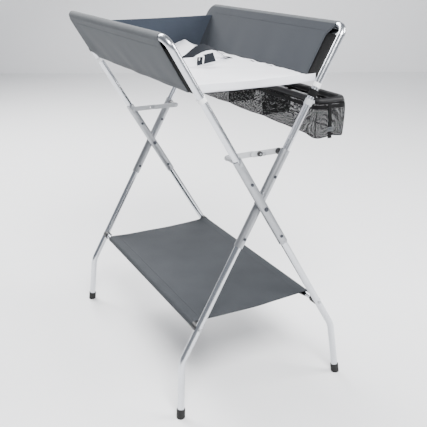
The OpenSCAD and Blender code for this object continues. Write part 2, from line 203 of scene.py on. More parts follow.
def sheet_grid(name: str, cols: int, rows: int, size: tuple[float, float], place: Place) -> bpy.types.Object:
    """A grid laid through space, with a UV map in metres on the cloth.

    Args:
        name: The piece's name.
        cols: Cells along the first direction.
        rows: Cells along the second direction.
        size: Length of the cloth in both directions, in metres.
        place: Gives the point for two shares from 0 to 1.

    Returns:
        The grid.
    """
    deselect()
    bpy.ops.mesh.primitive_grid_add(x_subdivisions=cols, y_subdivisions=rows, size=1)
    piece = name_new(name)
    for loop in piece.data.uv_layers.active.data:
        loop.uv = (loop.uv[0] * size[0], loop.uv[1] * size[1])
    for v in piece.data.vertices:
        v.co = place(min(max(v.co.x + 0.5, 0.0), 1.0), min(max(v.co.y + 0.5, 0.0), 1.0))
    return piece


def cloth(name: str, cols: int, rows: int, size: tuple[float, float], place: Place,
          thick: float) -> bpy.types.Object:
    """A cloth of one thickness laid through space, its faces outwards.

    Args:
        name: The piece's name.
        cols: Cells along the first direction.
        rows: Cells along the second direction.
        size: Length of the cloth in both directions, in metres.
        place: Gives the point of its middle surface for two shares from 0 to 1.
        thick: Its thickness.

    Returns:
        The cloth.
    """
    piece = sheet_grid(name, cols, rows, size, place)
    apply(piece, "SOLIDIFY", thickness=thick, offset=0)
    merge_and_face_out(piece)
    return piece


@dataclass
class Path:
    """A line through points with a length, that can be asked for places and directions."""

    points: Sequence[Vector]
    closed: bool = False
    marks: list[float] = field(init=False)

    def __post_init__(self) -> None:
        """Measures the line once."""
        if self.closed:
            self.points = [*self.points, self.points[0]]
        self.marks = [0.0]
        for a, b in zip(self.points, self.points[1:]):
            self.marks.append(self.marks[-1] + (b - a).length)

    @property
    def length(self) -> float:
        """The whole line's length in metres."""
        return self.marks[-1]

    def at(self, share: float) -> Vector:
        """The place at a share of the length.

        Args:
            share: From 0 to 1.

        Returns:
            The point.
        """
        want = min(max(share, 0.0), 1.0) * self.length
        for i in range(len(self.points) - 1):
            if want <= self.marks[i + 1] or i == len(self.points) - 2:
                run = self.marks[i + 1] - self.marks[i]
                return self.points[i].lerp(self.points[i + 1], (want - self.marks[i]) / run if run else 0.0)
        return self.points[-1].copy()

    def along(self, share: float, step: float = 0.004) -> Vector:
        """The direction at a share of the length.

        Args:
            share: From 0 to 1.
            step: Half the stretch that it is measured over, as a share.

        Returns:
            A unit vector.
        """
        low, high = share - step, share + step
        if self.closed:
            return (self.at(high % 1.0) - self.at(low % 1.0)).normalized()
        return (self.at(min(high, 1.0)) - self.at(max(low, 0.0))).normalized()


def arc(centre: Vector, start: Vector, turn: Vector, degrees: float, steps: int) -> list[Vector]:
    """Points on an arc."""
    spins = (Matrix.Rotation(math.radians(degrees * i / steps), 3, turn) for i in range(steps + 1))
    return [centre + spin @ start for spin in spins]


def rounded(half_w: float, half_h: float, corner: float, steps: int) -> list[tuple[float, float]]:
    """A rounded rectangle about the origin, anticlockwise from the top of its right side.

    Args:
        half_w: Half its width.
        half_h: Half its height.
        corner: Its corners' radius.
        steps: How many stretches a corner has.

    Returns:
        The points, steps + 1 for each corner.
    """
    return [
        (sx * (half_w - corner) + corner * math.cos(a), sy * (half_h - corner) + corner * math.sin(a))
        for quarter, (sx, sy) in enumerate(((1, 1), (-1, 1), (-1, -1), (1, -1)))
        for a in (math.radians(90 * (quarter + k / steps)) for k in range(steps + 1))
    ]


def tube_on(name: str, path: Path, around: int, rings: int, radius: Callable[[float, float], float],
            up: Vector) -> bpy.types.Object:
    """A tube swept along a path.

    Args:
        name: The piece's name.
        path: The line down its middle.
        around: Cells round it.
        rings: Cells along it.
        radius: Gives the radius for a share along and an angle round.
        up: A direction that is never along the path.

    Returns:
        The tube, open at its ends unless the path is closed.
    """

    def place(u: float, v: float) -> Vector:
        t = path.along(u % 1.0 if path.closed else u)
        side = t.cross(up).normalized()
        top = side.cross(t)
        a = 2 * math.pi * v
        return path.at(u) + radius(u, a) * (math.cos(a) * side + math.sin(a) * top)

    middle = radius(0.5, 0.0)
    piece = sheet_grid(name, rings, around, (path.length, 2 * math.pi * middle), place)
    merge_and_face_out(piece)
    return piece


def strap_on(name: str, path: Path, width: float, thick: float, across: Callable[[float], Vector],
             rings: int = 60, cols: int = 6) -> bpy.types.Object:
    """A flat strap swept along a path.

    Args:
        name: The piece's name.
        path: The line along its middle.
        width: Its width in metres.
        thick: Its thickness in metres.
        across: Gives its crosswise direction for a share along.
        rings: Cells along it.
        cols: Cells across it.

    Returns:
        The strap, with rounded edges.
    """

    def place(u: float, v: float) -> Vector:
        return path.at(u) + (v - 0.5) * width * across(u).normalized()

    piece = sheet_grid(name, rings, cols, (path.length, width), place)
    apply(piece, "SOLIDIFY", thickness=thick, offset=0)
    apply(piece, "BEVEL", width=thick * 0.35, segments=2, limit_method="ANGLE")
    smooth(piece, 50)
    return piece


def wave(x: float, y: float, seed: float) -> float:
    """A soft, irregular wave between about -1 and 1, the same on each run.

    Args:
        x: First place, in waves.
        y: Second place, in waves.
        seed: Moves the pattern.

    Returns:
        The height.
    """
    return (
        0.5 * math.sin(2.1 * x + 0.7 * y + seed)
        + 0.3 * math.sin(3.7 * x - 1.9 * y + 2.3 * seed)
        + 0.2 * math.sin(5.3 * y + 1.3 * x + 4.1 * seed)
    )


def ease(x: float, low: float, high: float) -> float:
    """Rises smoothly from 0 at low to 1 at high."""
    t = min(max((x - low) / (high - low), 0.0), 1.0)
    return t * t * (3 - 2 * t)


# ---- Finishes ----


def linear(hex_colour: str) -> tuple[float, float, float, float]:
    """Turns an sRGB hex colour to linear values.

    Args:
        hex_colour: Such as "#8a8d90".

    Returns:
        Red, green, blue and 1.
    """
    out = []
    for i in (1, 3, 5):
        c = int(hex_colour[i:i + 2], 16) / 255
        out.append(c / 12.92 if c <= 0.04045 else ((c + 0.055) / 1.055) ** 2.4)
    return (out[0], out[1], out[2], 1.0)


def add_node(tree: bpy.types.NodeTree, kind: str, links: dict[str | int, object] | None = None,
             **settings: object) -> bpy.types.Node:
    """Adds a shader node with its settings and its links.

    Args:
        tree: The material's node tree.
        kind: The node's type.
        links: Input names or numbers, each with an output socket or a value.
        settings: The node's own properties.

    Returns:
        The node.
    """
    node = tree.nodes.new(kind)
    for key, value in settings.items():
        setattr(node, key, value)
    for key, value in (links or {}).items():
        if isinstance(value, bpy.types.NodeSocket):
            tree.links.new(value, node.inputs[key])
        else:
            node.inputs[key].default_value = value
    return node


def ridges(tree: bpy.types.NodeTree, along: bpy.types.NodeSocket, pitch_mm: float) -> bpy.types.NodeSocket:
    """A sine wave along one coordinate.

    Args:
        tree: The material's node tree.
        along: The coordinate, in metres.
        pitch_mm: From one crest to the next.

    Returns:
        The wave, from -1 to 1.
    """
    turns = 2 * math.pi / (pitch_mm * MM)
    angle = add_node(tree, "ShaderNodeMath", {0: along, 1: turns}, operation="MULTIPLY")
    return add_node(tree, "ShaderNodeMath", {0: angle.outputs[0]}, operation="SINE").outputs[0]


@dataclass(frozen=True)
class Finish:
    """A solid finish: two close colours in slow patches, fine grain in the surface, and uneven gloss."""

    name: str
    colour: str
    patch_colour: str
    roughness: float
    grain_mm: float
    grain_depth: float
    metallic: float = 0.0
    ior: float = 1.5
    patch_mm: float = 60.0
    gloss_range: float = 0.08
    sheen: float = 0.0
    coat: float = 0.0

    def material(self) -> bpy.types.Material:
        """Builds the material once and gives it again after that.

        Returns:
            The material.
        """
        known = bpy.data.materials.get(self.name)
        if known:
            return known
        made = bpy.data.materials.new(self.name)
        made.use_nodes = True
        tree = made.node_tree
        shader = tree.nodes["Principled BSDF"]
        shader.inputs["Metallic"].default_value = self.metallic
        shader.inputs["IOR"].default_value = self.ior
        shader.inputs["Sheen Weight"].default_value = self.sheen
        shader.inputs["Sheen Roughness"].default_value = 0.5
        shader.inputs["Coat Weight"].default_value = self.coat
        shader.inputs["Coat Roughness"].default_value = 0.12
        self.fill(tree, shader)
        return made

    def fill(self, tree: bpy.types.NodeTree, shader: bpy.types.Node) -> None:
        """Draws the finish's own pattern.

        Args:
            tree: The material's node tree.
            shader: Its Principled shader.
        """
        where = add_node(tree, "ShaderNodeTexCoord").outputs["Object"]
        patches = self.patches(tree, shader, where)
        grain = add_node(tree, "ShaderNodeTexNoise", {
            "Vector": where, "Scale": 1 / (self.grain_mm * MM), "Detail": 3.0, "Roughness": 0.6,
        })
        self.gloss(tree, shader, patches, (0.25, 0.75), self.gloss_range / 2)
        self.bump(tree, shader, grain.outputs["Fac"], self.grain_depth)

    def gloss(self, tree: bpy.types.NodeTree, shader: bpy.types.Node, pattern: bpy.types.NodeSocket,
              given: tuple[float, float], swing: float) -> None:
        """Varies the roughness with a pattern.

        Args:
            tree: The material's node tree.
            shader: Its Principled shader.
            pattern: The pattern.
            given: The range of the pattern that counts.
            swing: How much rougher its high end is, and how much smoother its low end.
        """
        spread = add_node(tree, "ShaderNodeMapRange", {
            "Value": pattern,
            "From Min": given[0],
            "From Max": given[1],
            "To Min": self.roughness - swing,
            "To Max": self.roughness + swing,
        })
        tree.links.new(spread.outputs[0], shader.inputs["Roughness"])

    def patches(self, tree: bpy.types.NodeTree, shader: bpy.types.Node,
                where: bpy.types.NodeSocket) -> bpy.types.NodeSocket:
        """Draws the slow colour patches.

        Args:
            tree: The material's node tree.
            shader: Its Principled shader.
            where: The coordinates.

        Returns:
            The patches' strength.
        """
        noise = add_node(tree, "ShaderNodeTexNoise", {
            "Vector": where, "Scale": 1 / (self.patch_mm * MM), "Detail": 4.0, "Roughness": 0.55,
        })
        mix = add_node(tree, "ShaderNodeMix", {0: noise.outputs["Fac"]}, data_type="RGBA")
        mix.inputs[6].default_value = linear(self.colour)
        mix.inputs[7].default_value = linear(self.patch_colour)
        tree.links.new(mix.outputs[2], shader.inputs["Base Color"])
        return noise.outputs["Fac"]

    @staticmethod
    def bump(tree: bpy.types.NodeTree, shader: bpy.types.Node, height: bpy.types.NodeSocket,
             depth_mm: float) -> None:
        """Raises the surface by a height of so many millimetres."""
        raised = {"Height": height, "Strength": 1.0, "Distance": depth_mm * MM}
        tree.links.new(add_node(tree, "ShaderNodeBump", raised).outputs[0], shader.inputs["Normal"])


@dataclass(frozen=True)
class Weave(Finish):
    """A woven cloth: threads over and under in both directions of its UV map, which is in metres."""

    thread_mm: float = 1.2

    def fill(self, tree: bpy.types.NodeTree, shader: bpy.types.Node) -> None:
        """Draws the threads over the slow patches.

        Args:
            tree: The material's node tree.
            shader: Its Principled shader.
        """
        coordinates = add_node(tree, "ShaderNodeTexCoord")
        self.patches(tree, shader, coordinates.outputs["Object"])
        split = add_node(tree, "ShaderNodeSeparateXYZ", {0: coordinates.outputs["UV"]})
        threads = [ridges(tree, split.outputs[axis], 2 * self.thread_mm) for axis in (0, 1)]
        cross = add_node(tree, "ShaderNodeMath", {0: threads[0], 1: threads[1]}, operation="MULTIPLY")
        height = add_node(tree, "ShaderNodeMapRange", {
            "Value": cross.outputs[0], "From Min": -1.0, "From Max": 1.0,
        })
        fuzz = add_node(tree, "ShaderNodeTexNoise", {
            "Vector": coordinates.outputs["Object"], "Scale": 1 / (self.grain_mm * MM), "Detail": 2.0,
        })
        sums = {0: height.outputs[0], 1: fuzz.outputs["Fac"]}
        both = add_node(tree, "ShaderNodeMath", sums, operation="ADD").outputs[0]
        self.gloss(tree, shader, both, (0.3, 1.5), -self.gloss_range)
        self.bump(tree, shader, both, self.grain_depth)


@dataclass(frozen=True)
class Ribbed(Finish):
    """Webbing or tape: ribs across its length, in its UV map's first direction."""

    rib_mm: float = 2.2

    def fill(self, tree: bpy.types.NodeTree, shader: bpy.types.Node) -> None:
        """Draws the ribs over the slow patches.

        Args:
            tree: The material's node tree.
            shader: Its Principled shader.
        """
        coordinates = add_node(tree, "ShaderNodeTexCoord")
        self.patches(tree, shader, coordinates.outputs["Object"])
        split = add_node(tree, "ShaderNodeSeparateXYZ", {0: coordinates.outputs["UV"]})
        rib = ridges(tree, split.outputs[0], self.rib_mm)
        height = add_node(tree, "ShaderNodeMapRange", {"Value": rib, "From Min": -1.0, "From Max": 1.0})
        self.gloss(tree, shader, height.outputs[0], (0.0, 1.0), -self.gloss_range)
        self.bump(tree, shader, height.outputs[0], self.grain_depth)


@dataclass(frozen=True)
class Netting(Finish):
    """Knitted mesh: threads in two slanted families with open cells between them."""

    cell_mm: float = 2.6
    thread_share: float = 0.5

    def fill(self, tree: bpy.types.NodeTree, shader: bpy.types.Node) -> None:
        """Draws the threads and leaves the cells open.

        Args:
            tree: The material's node tree.
            shader: Its Principled shader.
        """
        coordinates = add_node(tree, "ShaderNodeTexCoord")
        self.patches(tree, shader, coordinates.outputs["Object"])
        shader.inputs["Roughness"].default_value = self.roughness
        split = add_node(tree, "ShaderNodeSeparateXYZ", {0: coordinates.outputs["UV"]})
        across, along = split.outputs[0], split.outputs[1]
        lines = {}
        for i, way in enumerate(("ADD", "SUBTRACT")):
            slant = add_node(tree, "ShaderNodeMath", {0: across, 1: along}, operation=way)
            swing = ridges(tree, slant.outputs[0], 2 * self.cell_mm)
            lines[i] = add_node(tree, "ShaderNodeMath", {0: swing}, operation="ABSOLUTE").outputs[0]
        cell = add_node(tree, "ShaderNodeMath", lines, operation="MINIMUM")
        thread = add_node(tree, "ShaderNodeMapRange", {
            "Value": cell.outputs[0],
            "From Min": self.thread_share - 0.06,
            "From Max": self.thread_share + 0.06,
            "To Min": 1.0,
            "To Max": 0.0,
        }).outputs[0]
        tree.links.new(thread, shader.inputs["Alpha"])
        self.bump(tree, shader, thread, self.grain_depth)


def oxford(name: str, colour: str, patch_colour: str, roughness: float = 0.82) -> Weave:
    """Dull polyester oxford cloth, coated on its back, with threads drawn twice their size, to show."""
    return Weave(name, colour, patch_colour, roughness, 0.6, 0.05, ior=1.3, sheen=0.04, thread_mm=1.1)


# Lacquered steel tube: bright, with a faint cloudiness from the clear lacquer
TUBE = Finish("lacquered_steel_tube", "#d4d6da", "#c3c6cb", 0.24, 0.9, 0.012, metallic=1.0, gloss_range=0.10)
# Satin powder-coated aluminium sleeve: darker and duller than the tubes
SLEEVE = Finish("satin_aluminium_sleeve", "#a9abae", "#97999d", 0.42, 0.8, 0.02, metallic=1.0)
# Zinc-plated steel: pins, rivets and pressed arms, slightly blotchy
ZINC = Finish("zinc_plated_steel", "#b9bbbd", "#9b9ea2", 0.36, 0.7, 0.02, metallic=1.0, patch_mm=12)
# Blackened steel rivets and bolts
RIVET = Finish("blackened_steel", "#4d4f54", "#3c3e43", 0.42, 0.7, 0.02, metallic=1.0, patch_mm=8)
# Pressed steel painted light grey
ARM = Finish("grey_painted_pressed_steel", "#aeb0b2", "#a3a5a8", 0.45, 0.8, 0.015, patch_mm=25)
# Moulded black ABS with a fine spark-eroded grain
BLACK_ABS = Finish("black_moulded_abs", "#0d0d0f", "#121214", 0.46, 0.7, 0.03)
# Moulded light grey acetal: waxy and a little translucent to the eye
GREY_ACETAL = Finish("light_grey_acetal", "#a9abae", "#9ea0a3", 0.38, 0.8, 0.015)
# Moulded nylon slider
DARK_NYLON = Finish("grey_moulded_nylon", "#4b4e51", "#45484b", 0.5, 0.8, 0.015)
# White acetal buckle
WHITE_ACETAL = Finish("white_acetal", "#eceded", "#e2e3e4", 0.30, 0.8, 0.012, coat=0.15)
# Moulded rubber, dull and dusty
RUBBER = Finish("moulded_rubber", "#0b0b0b", "#151515", 0.78, 0.8, 0.05, patch_mm=14)
# Polyester oxford cloth in its four colours, woven and then coated
PANEL_OUT = oxford("grey_oxford_polyester", "#53565a", "#484b4d")
PANEL_IN = oxford("slate_oxford_polyester", "#2c3036", "#282c32")
END_CLOTH = oxford("dark_slate_oxford_polyester", "#303640", "#2b313a")
SHELF_CLOTH = oxford("shelf_oxford_polyester", "#323539", "#282b2f", 0.80)
# White coated cloth of the tray's floor
FLOOR_CLOTH = Weave(
    "white_coated_polyester", "#e4e5ea", "#dcdde3", 0.55, 0.6, 0.03, sheen=0.1, thread_mm=1.1
)
# Soft white vinyl over foam, with fine leather-like grain
MAT_VINYL = Finish("white_padded_vinyl", "#f1f1f5", "#e9eaf0", 0.48, 1.6, 0.06, coat=0.1)
# Woven polyester tape and webbing
BLACK_TAPE = Ribbed("black_polyester_tape", "#040405", "#060607", 0.85, 0.6, 0.12, ior=1.3, rib_mm=1.6)
GREY_WEBBING = Ribbed("grey_polyester_webbing", "#1d2026", "#191c21", 0.85, 0.6, 0.15, ior=1.3)
WHITE_WEBBING = Ribbed("white_polyester_webbing", "#e9e9ed", "#dedfe4", 0.62, 0.6, 0.12, sheen=0.2)
# Knitted polyester mesh; cells drawn at 2.6 mm, about twice their size, to show
MESH = Netting("black_knitted_mesh", "#0b0b0c", "#070708", 0.92, 0.8, 0.1, ior=1.3, thread_share=0.66)
# Foam-filled rim cover, gathered
RIM_COVER = Ribbed("black_rim_cover", "#060608", "#09090c", 0.55, 0.6, 0.15, ior=1.4, rib_mm=3.2)


# ---- The table's shape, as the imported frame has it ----


@dataclass(frozen=True)
class Frame:
    """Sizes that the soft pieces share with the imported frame, in metres."""

    rail_x: float = 0.2525
    rail_z: float = 1.0
    pivot_z: float = 0.56
    lean: float = math.radians(29.85)
    outer_y: float = 0.3833
    inner_y: float = 0.3567

    def across(self, z: float) -> float:
        """How far a leg's middle is from the middle plane."""
        return (z - self.pivot_z) * math.tan(self.lean)

    def slope(self, side: Side) -> Vector:
        """The way up along a frame's plane."""
        return Vector((side.value * math.sin(self.lean), 0, math.cos(self.lean)))

    def outward(self, side: Side) -> Vector:
        """The way out of a frame's plane, away from the tray."""
        return Vector((side.value * math.cos(self.lean), 0, -math.sin(self.lean)))

    def turned(self, side: Side, point: Vector) -> Vector:
        """Takes a point made for the left frame to the same place on the frame asked for."""
        return point if side is Side.LEFT else Vector((-point.x, -point.y, point.z))


SHAPE = Frame()


def stitches(name: str, path: Path, up: Vector, pitch_mm: float = 5.0,
             thread_mm: float = 0.42) -> bpy.types.Object:
    """A row of sewing stitches: a thread that shows on the surface and dives under it again.

    Args:
        name: The piece's name.
        path: The row's line, on the cloth's surface.
        up: A direction that is never along the path.
        pitch_mm: From one stitch to the next.
        thread_mm: The thread's radius.

    Returns:
        The row.
    """
    count = max(int(path.length / (pitch_mm * MM)), 2)

    def radius(u: float, _: float) -> float:
        return thread_mm * MM * max(math.sin(math.pi * ((u * count) % 1.0)), 0.02) ** 0.45

    piece = tube_on(name, path, 5, count * 6, radius, up)
    smooth(piece, 80)
    return piece


def dress(piece: bpy.types.Object, *finishes: Finish) -> None:
    """Gives a piece its materials, in the order of its material numbers.

    Args:
        piece: The piece.
        finishes: The finishes.
    """
    piece.data.materials.clear()
    for finish in finishes:
        piece.data.materials.append(finish.material())


def two_faced(piece: bpy.types.Object, way: Vector, limit: float = 0.0) -> None:
    """Gives the faces that don't look a certain way the second material."""
    for face in piece.data.polygons:
        face.material_index = 0 if face.normal.dot(way) > limit else 1


def thicken(piece: bpy.types.Object, amount: Callable[[Vector], float]) -> None:
    """Moves a closed piece's surface outwards, as a folded hem does.

    Args:
        piece: The piece.
        amount: Gives the distance for a place, in metres.
    """
    moves = [v.normal * amount(v.co) for v in piece.data.vertices]
    for v, move in zip(piece.data.vertices, moves):
        v.co += move


@dataclass(frozen=True)
class SidePanel:
    """A side panel: cloth hung from the rail, a cover over rail and far leg, tape on the near edge."""

    side: Side
    cover_r: float = 10.8 * MM
    length: float = 154.5 * MM
    corner_r: float = 26 * MM
    leg_cover: float = 128 * MM
    tape_w: float = 11 * MM
    edge: float = 57 * MM
    tape_gap: float = 9.9 * MM
    hem_gap: float = 1.7 * MM
    fold_depth: float = 1.7 * MM

    @property
    def near_y(self) -> float:
        """The near leg's place along Y."""
        return -(SHAPE.outer_y if self.side is Side.LEFT else SHAPE.inner_y)

    @property
    def far_y(self) -> float:
        """The far leg's place along Y."""
        return SHAPE.inner_y if self.side is Side.LEFT else SHAPE.outer_y

    def at(self, down: float, y: float, out: float) -> Vector:
        """A place from its distances in the panel's own plane."""
        rail = Vector((self.side.value * SHAPE.rail_x, y, SHAPE.rail_z))
        return rail - SHAPE.slope(self.side) * down + SHAPE.outward(self.side) * out

    def folds(self, down: float, y: float) -> float:
        """How far the cloth stands out of its plane.

        Args:
            down: Below the rail's middle.
            y: Along Y.

        Returns:
            The distance in metres.
        """
        middle = math.cos(math.pi * (y - 0.5 * (self.near_y + self.far_y)) / (self.far_y - self.near_y))
        free = ease(down, 0.03, 0.12) * (0.25 + 0.75 * max(middle, 0) ** 0.5)
        seed = 1.0 + self.side.value
        return free * self.fold_depth * wave(17 * y + 5 * down, 4 * down, seed)

    def cover_path(self) -> Path:
        """The hoop's middle line under the cover, from the near end of the rail to low on the far leg."""
        y0 = self.near_y + self.corner_r + 4 * MM
        centre = self.at(self.corner_r, self.far_y - self.corner_r, 0)
        turn = SHAPE.outward(self.side) * -self.side.value
        bend = arc(centre, SHAPE.slope(self.side) * self.corner_r, turn, 90, 14)
        rail_steps, leg_steps = 40, 10
        run, drop = self.far_y - self.corner_r - y0, self.leg_cover - self.corner_r
        rail = [self.at(0, y0 + run * i / rail_steps, 0) for i in range(rail_steps)]
        leg = [self.at(self.corner_r + drop * (i + 1) / leg_steps, self.far_y, 0) for i in range(leg_steps)]
        return Path([*rail, *bend, *leg])

    def cover(self) -> bpy.types.Object:
        """The cloth over the rail, the far corner and the far leg, closed towards the panel by a seam."""

        def radius(u: float, a: float) -> float:
            return self.cover_r + 0.16 * MM * wave(60 * u, 1.5 * a, 3.0)

        up = SHAPE.outward(self.side) * -self.side.value
        piece = tube_on(f"rail_cover_{self.side.word}", self.cover_path(), 40, 150, radius, up)
        two_faced(piece, SHAPE.outward(self.side), -0.35)
        apply(piece, "SOLIDIFY", thickness=0.7 * MM, offset=-1)
        dress(piece, PANEL_OUT, PANEL_IN)
        smooth(piece, 40)
        return piece

    def top_edge(self, y: float) -> float:
        """How far the hoop's middle line is below the rail's, which is more at the far corner."""
        past = min(max(y - (self.far_y - self.corner_r), 0.0), self.corner_r)
        return self.corner_r - math.sqrt(self.corner_r**2 - past**2)

    def near_edge(self, share: float) -> float:
        """Where the cloth's near edge is, which is furthest from the leg halfway down.

        Args:
            share: Share of the way down.

        Returns:
            The place along Y.
        """
        start = self.corner_r + 3 * MM
        if self.side is Side.LEFT:
            return self.near_y + start + (self.edge - start) * share
        return self.near_y + start + (self.edge - start) * (0.65 * ease(share, 0.03, 0.25) + 0.35 * share)

    def stand_off(self, down: float, y: float) -> float:
        """How far each layer stands off the hoop's plane: full by the tubes, least at the bottom seam.

        Args:
            down: Below the rail's middle.
            y: Along Y.

        Returns:
            The distance in metres.
        """
        share = min(max(down / self.length, 0.0), 1.0)
        wedge = self.cover_r + (self.hem_gap - self.cover_r) * share
        by_leg = ease(y, self.far_y - 0.075, self.far_y - 0.008)
        low = ease(share, 0.80, 0.97)
        return wedge + (self.cover_r - wedge) * by_leg * (1 - low)

    def layer_at(self, u: float, v: float, face: int, lift: float = 0.0) -> Vector:
        """A place on one of the panel's two layers.

        Args:
            u: Share of the way from the near edge to the far leg.
            v: Share of the way down.
            face: 1 for the outer layer, -1 for the inner one.
            lift: Distance off the cloth.

        Returns:
            The point.
        """
        near = self.near_edge(v)
        far = self.far_y - 0.5 * MM - 9 * MM * ease(v, 0.82, 0.86)
        y = near + (far - near) * u
        top = self.top_edge(y) + 0.8 * MM
        down = top + (self.length + 0.8 * MM * wave(9 * u, 0, 5.0) - top) * v
        out = self.stand_off(down, y)
        fold = self.folds(down, y) * (1.0 if face > 0 else 0.7) * min(out / (4 * MM), 1.0) ** 0.5
        return self.at(down, y, face * (out + lift) + fold)

    def layer(self, face: int) -> bpy.types.Object:
        """One of the panel's two layers, with folds and a bottom hem.

        Args:
            face: 1 for the outer layer, -1 for the inner one.

        Returns:
            The cloth.
        """
        name = f"panel_{'outer' if face > 0 else 'inner'}_{self.side.word}"
        size = (self.far_y - self.near_y - self.edge, self.length)
        piece = cloth(name, 170, 44, size, lambda u, v: self.layer_at(u, v, face), 1.0 * MM)

        def hem(p: Vector) -> float:
            down = (self.at(0, p.y, 0) - p).dot(SHAPE.slope(self.side))
            return 0.3 * MM * ease(down, self.length - 0.0165, self.length - 0.0145)

        thicken(piece, hem)
        dress(piece, PANEL_OUT if face > 0 else PANEL_IN)
        smooth(piece, 40)
        return piece

    def seams(self, face: int) -> list[bpy.types.Object]:
        """Rows of stitches under the rail, over the hem and along the near edge of a layer.

        Args:
            face: 1 for the outer layer, -1 for the inner one.

        Returns:
            The rows.
        """
        word = f"{'outer' if face > 0 else 'inner'}_{self.side.word}"
        lift = 0.65 * MM
        low = 1 - 13 * MM / self.length
        lines = {
            "rail": [self.layer_at(0.01 + 0.91 * i / 90, 0.14, face, lift) for i in range(91)],
            "hem": [self.layer_at(0.01 + 0.95 * i / 90, low, face, lift + 0.2 * MM) for i in range(91)],
            "edge": [self.layer_at(0.009, 0.03 + 0.94 * i / 40, face, lift) for i in range(41)],
        }
        up = Vector((0.9, 0.1, 0.4))
        rows = [stitches(f"stitch_{where}_{word}", Path(line), up) for where, line in lines.items()]
        for row in rows:
            dress(row, PANEL_OUT if face > 0 else PANEL_IN)
        return rows

    def gusset(self) -> bpy.types.Object:
        """A black sheet that closes the near end between the two layers and runs to the tape: painted shade,
        standing in for the shadow inside the open gap between the layers.
        """
        inner_y = self.near_y + self.tape_gap + self.tape_w - 2 * MM

        def place(u: float, v: float) -> Vector:
            t = 2 * u - 1
            share = 0.17 + 0.82 * v
            edge_y = self.near_edge(share) + 1.5 * MM
            y = inner_y + (edge_y - inner_y) * abs(t) ** 1.3
            down = self.length * share
            inside = self.stand_off(down, y) - 0.9 * MM
            return self.at(down, y, t * inside * (0.15 + 0.85 * abs(t) ** 0.5))

        piece = sheet_grid(f"panel_gusset_{self.side.word}", 24, 40, (0.07, 0.128), place)
        apply(piece, "SOLIDIFY", thickness=0.8 * MM, offset=0)
        # Painted shade: this black cloth stands in for the shadow inside the gap between the panel's two
        # layers.
        dress(piece, BLACK_TAPE)
        smooth(piece, 50)
        return piece

    def tape(self) -> bpy.types.Object:
        """The black tape folded over the panel's near edge, beside the leg's tube."""
        y0 = self.near_y + self.tape_gap
        y1 = y0 + self.tape_w
        top = self.corner_r + 3 * MM
        run, slack = self.length + 2 * MM - top, self.folds(0.1, y1) / 2
        line = Path([self.at(top + run * i / 30, 0.5 * (y0 + y1), slack * i / 30) for i in range(31)])
        name = f"edge_tape_{self.side.word}"
        piece = strap_on(name, line, y1 - y0, 3.6 * MM, lambda _: Vector((0, 1, 0)), 60, 4)
        dress(piece, BLACK_TAPE)
        return piece

    def leg_end(self) -> bpy.types.Object:
        """Black tape that ends the leg's cover at its bottom."""
        centre = self.at(self.leg_cover - 4 * MM, self.far_y, 0)
        axis = SHAPE.slope(self.side)
        ring = Path(arc(centre, Vector((0, self.cover_r + 0.9 * MM, 0)), axis, 330, 33)[2:-2])
        name = f"leg_cover_tape_{self.side.word}"
        piece = strap_on(name, ring, 10 * MM, 1.2 * MM, lambda _: axis, 44, 4)
        dress(piece, BLACK_TAPE)
        return piece

    def build(self) -> None:
        """Builds the whole panel, lets it stand for its CAD nodes and ties it to its frame."""
        word = self.side.word
        outer, inner, cover = self.layer(1), self.layer(-1), self.cover()
        # The black sheet at the near end is painted shade for the shadowed gap between the layers.
        tape, end, gusset = self.tape(), self.leg_end(), self.gusset()
        rows_out, rows_in = self.seams(1), self.seams(-1)
        for piece in (outer, inner, cover, tape, end, gusset, *rows_out, *rows_in):
            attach(piece, f"{word}_frame")
            black = "tape" in piece.name or "gusset" in piece.name
        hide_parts(f"side_panel_{word}")
        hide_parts(f"panel_binding_{word}")
        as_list(rows_out)
        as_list(rows_in)


@dataclass(frozen=True)
class Across:
    """A cloth or pad that spans the two frames."""

    reach: float = 0.172

    def tie(self, piece: bpy.types.Object, first: Side = Side.LEFT) -> None:
        """Bakes a finished piece's transform into its mesh.

        Args:
            piece: The piece.
            first: Not used.
        """
        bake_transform(piece)


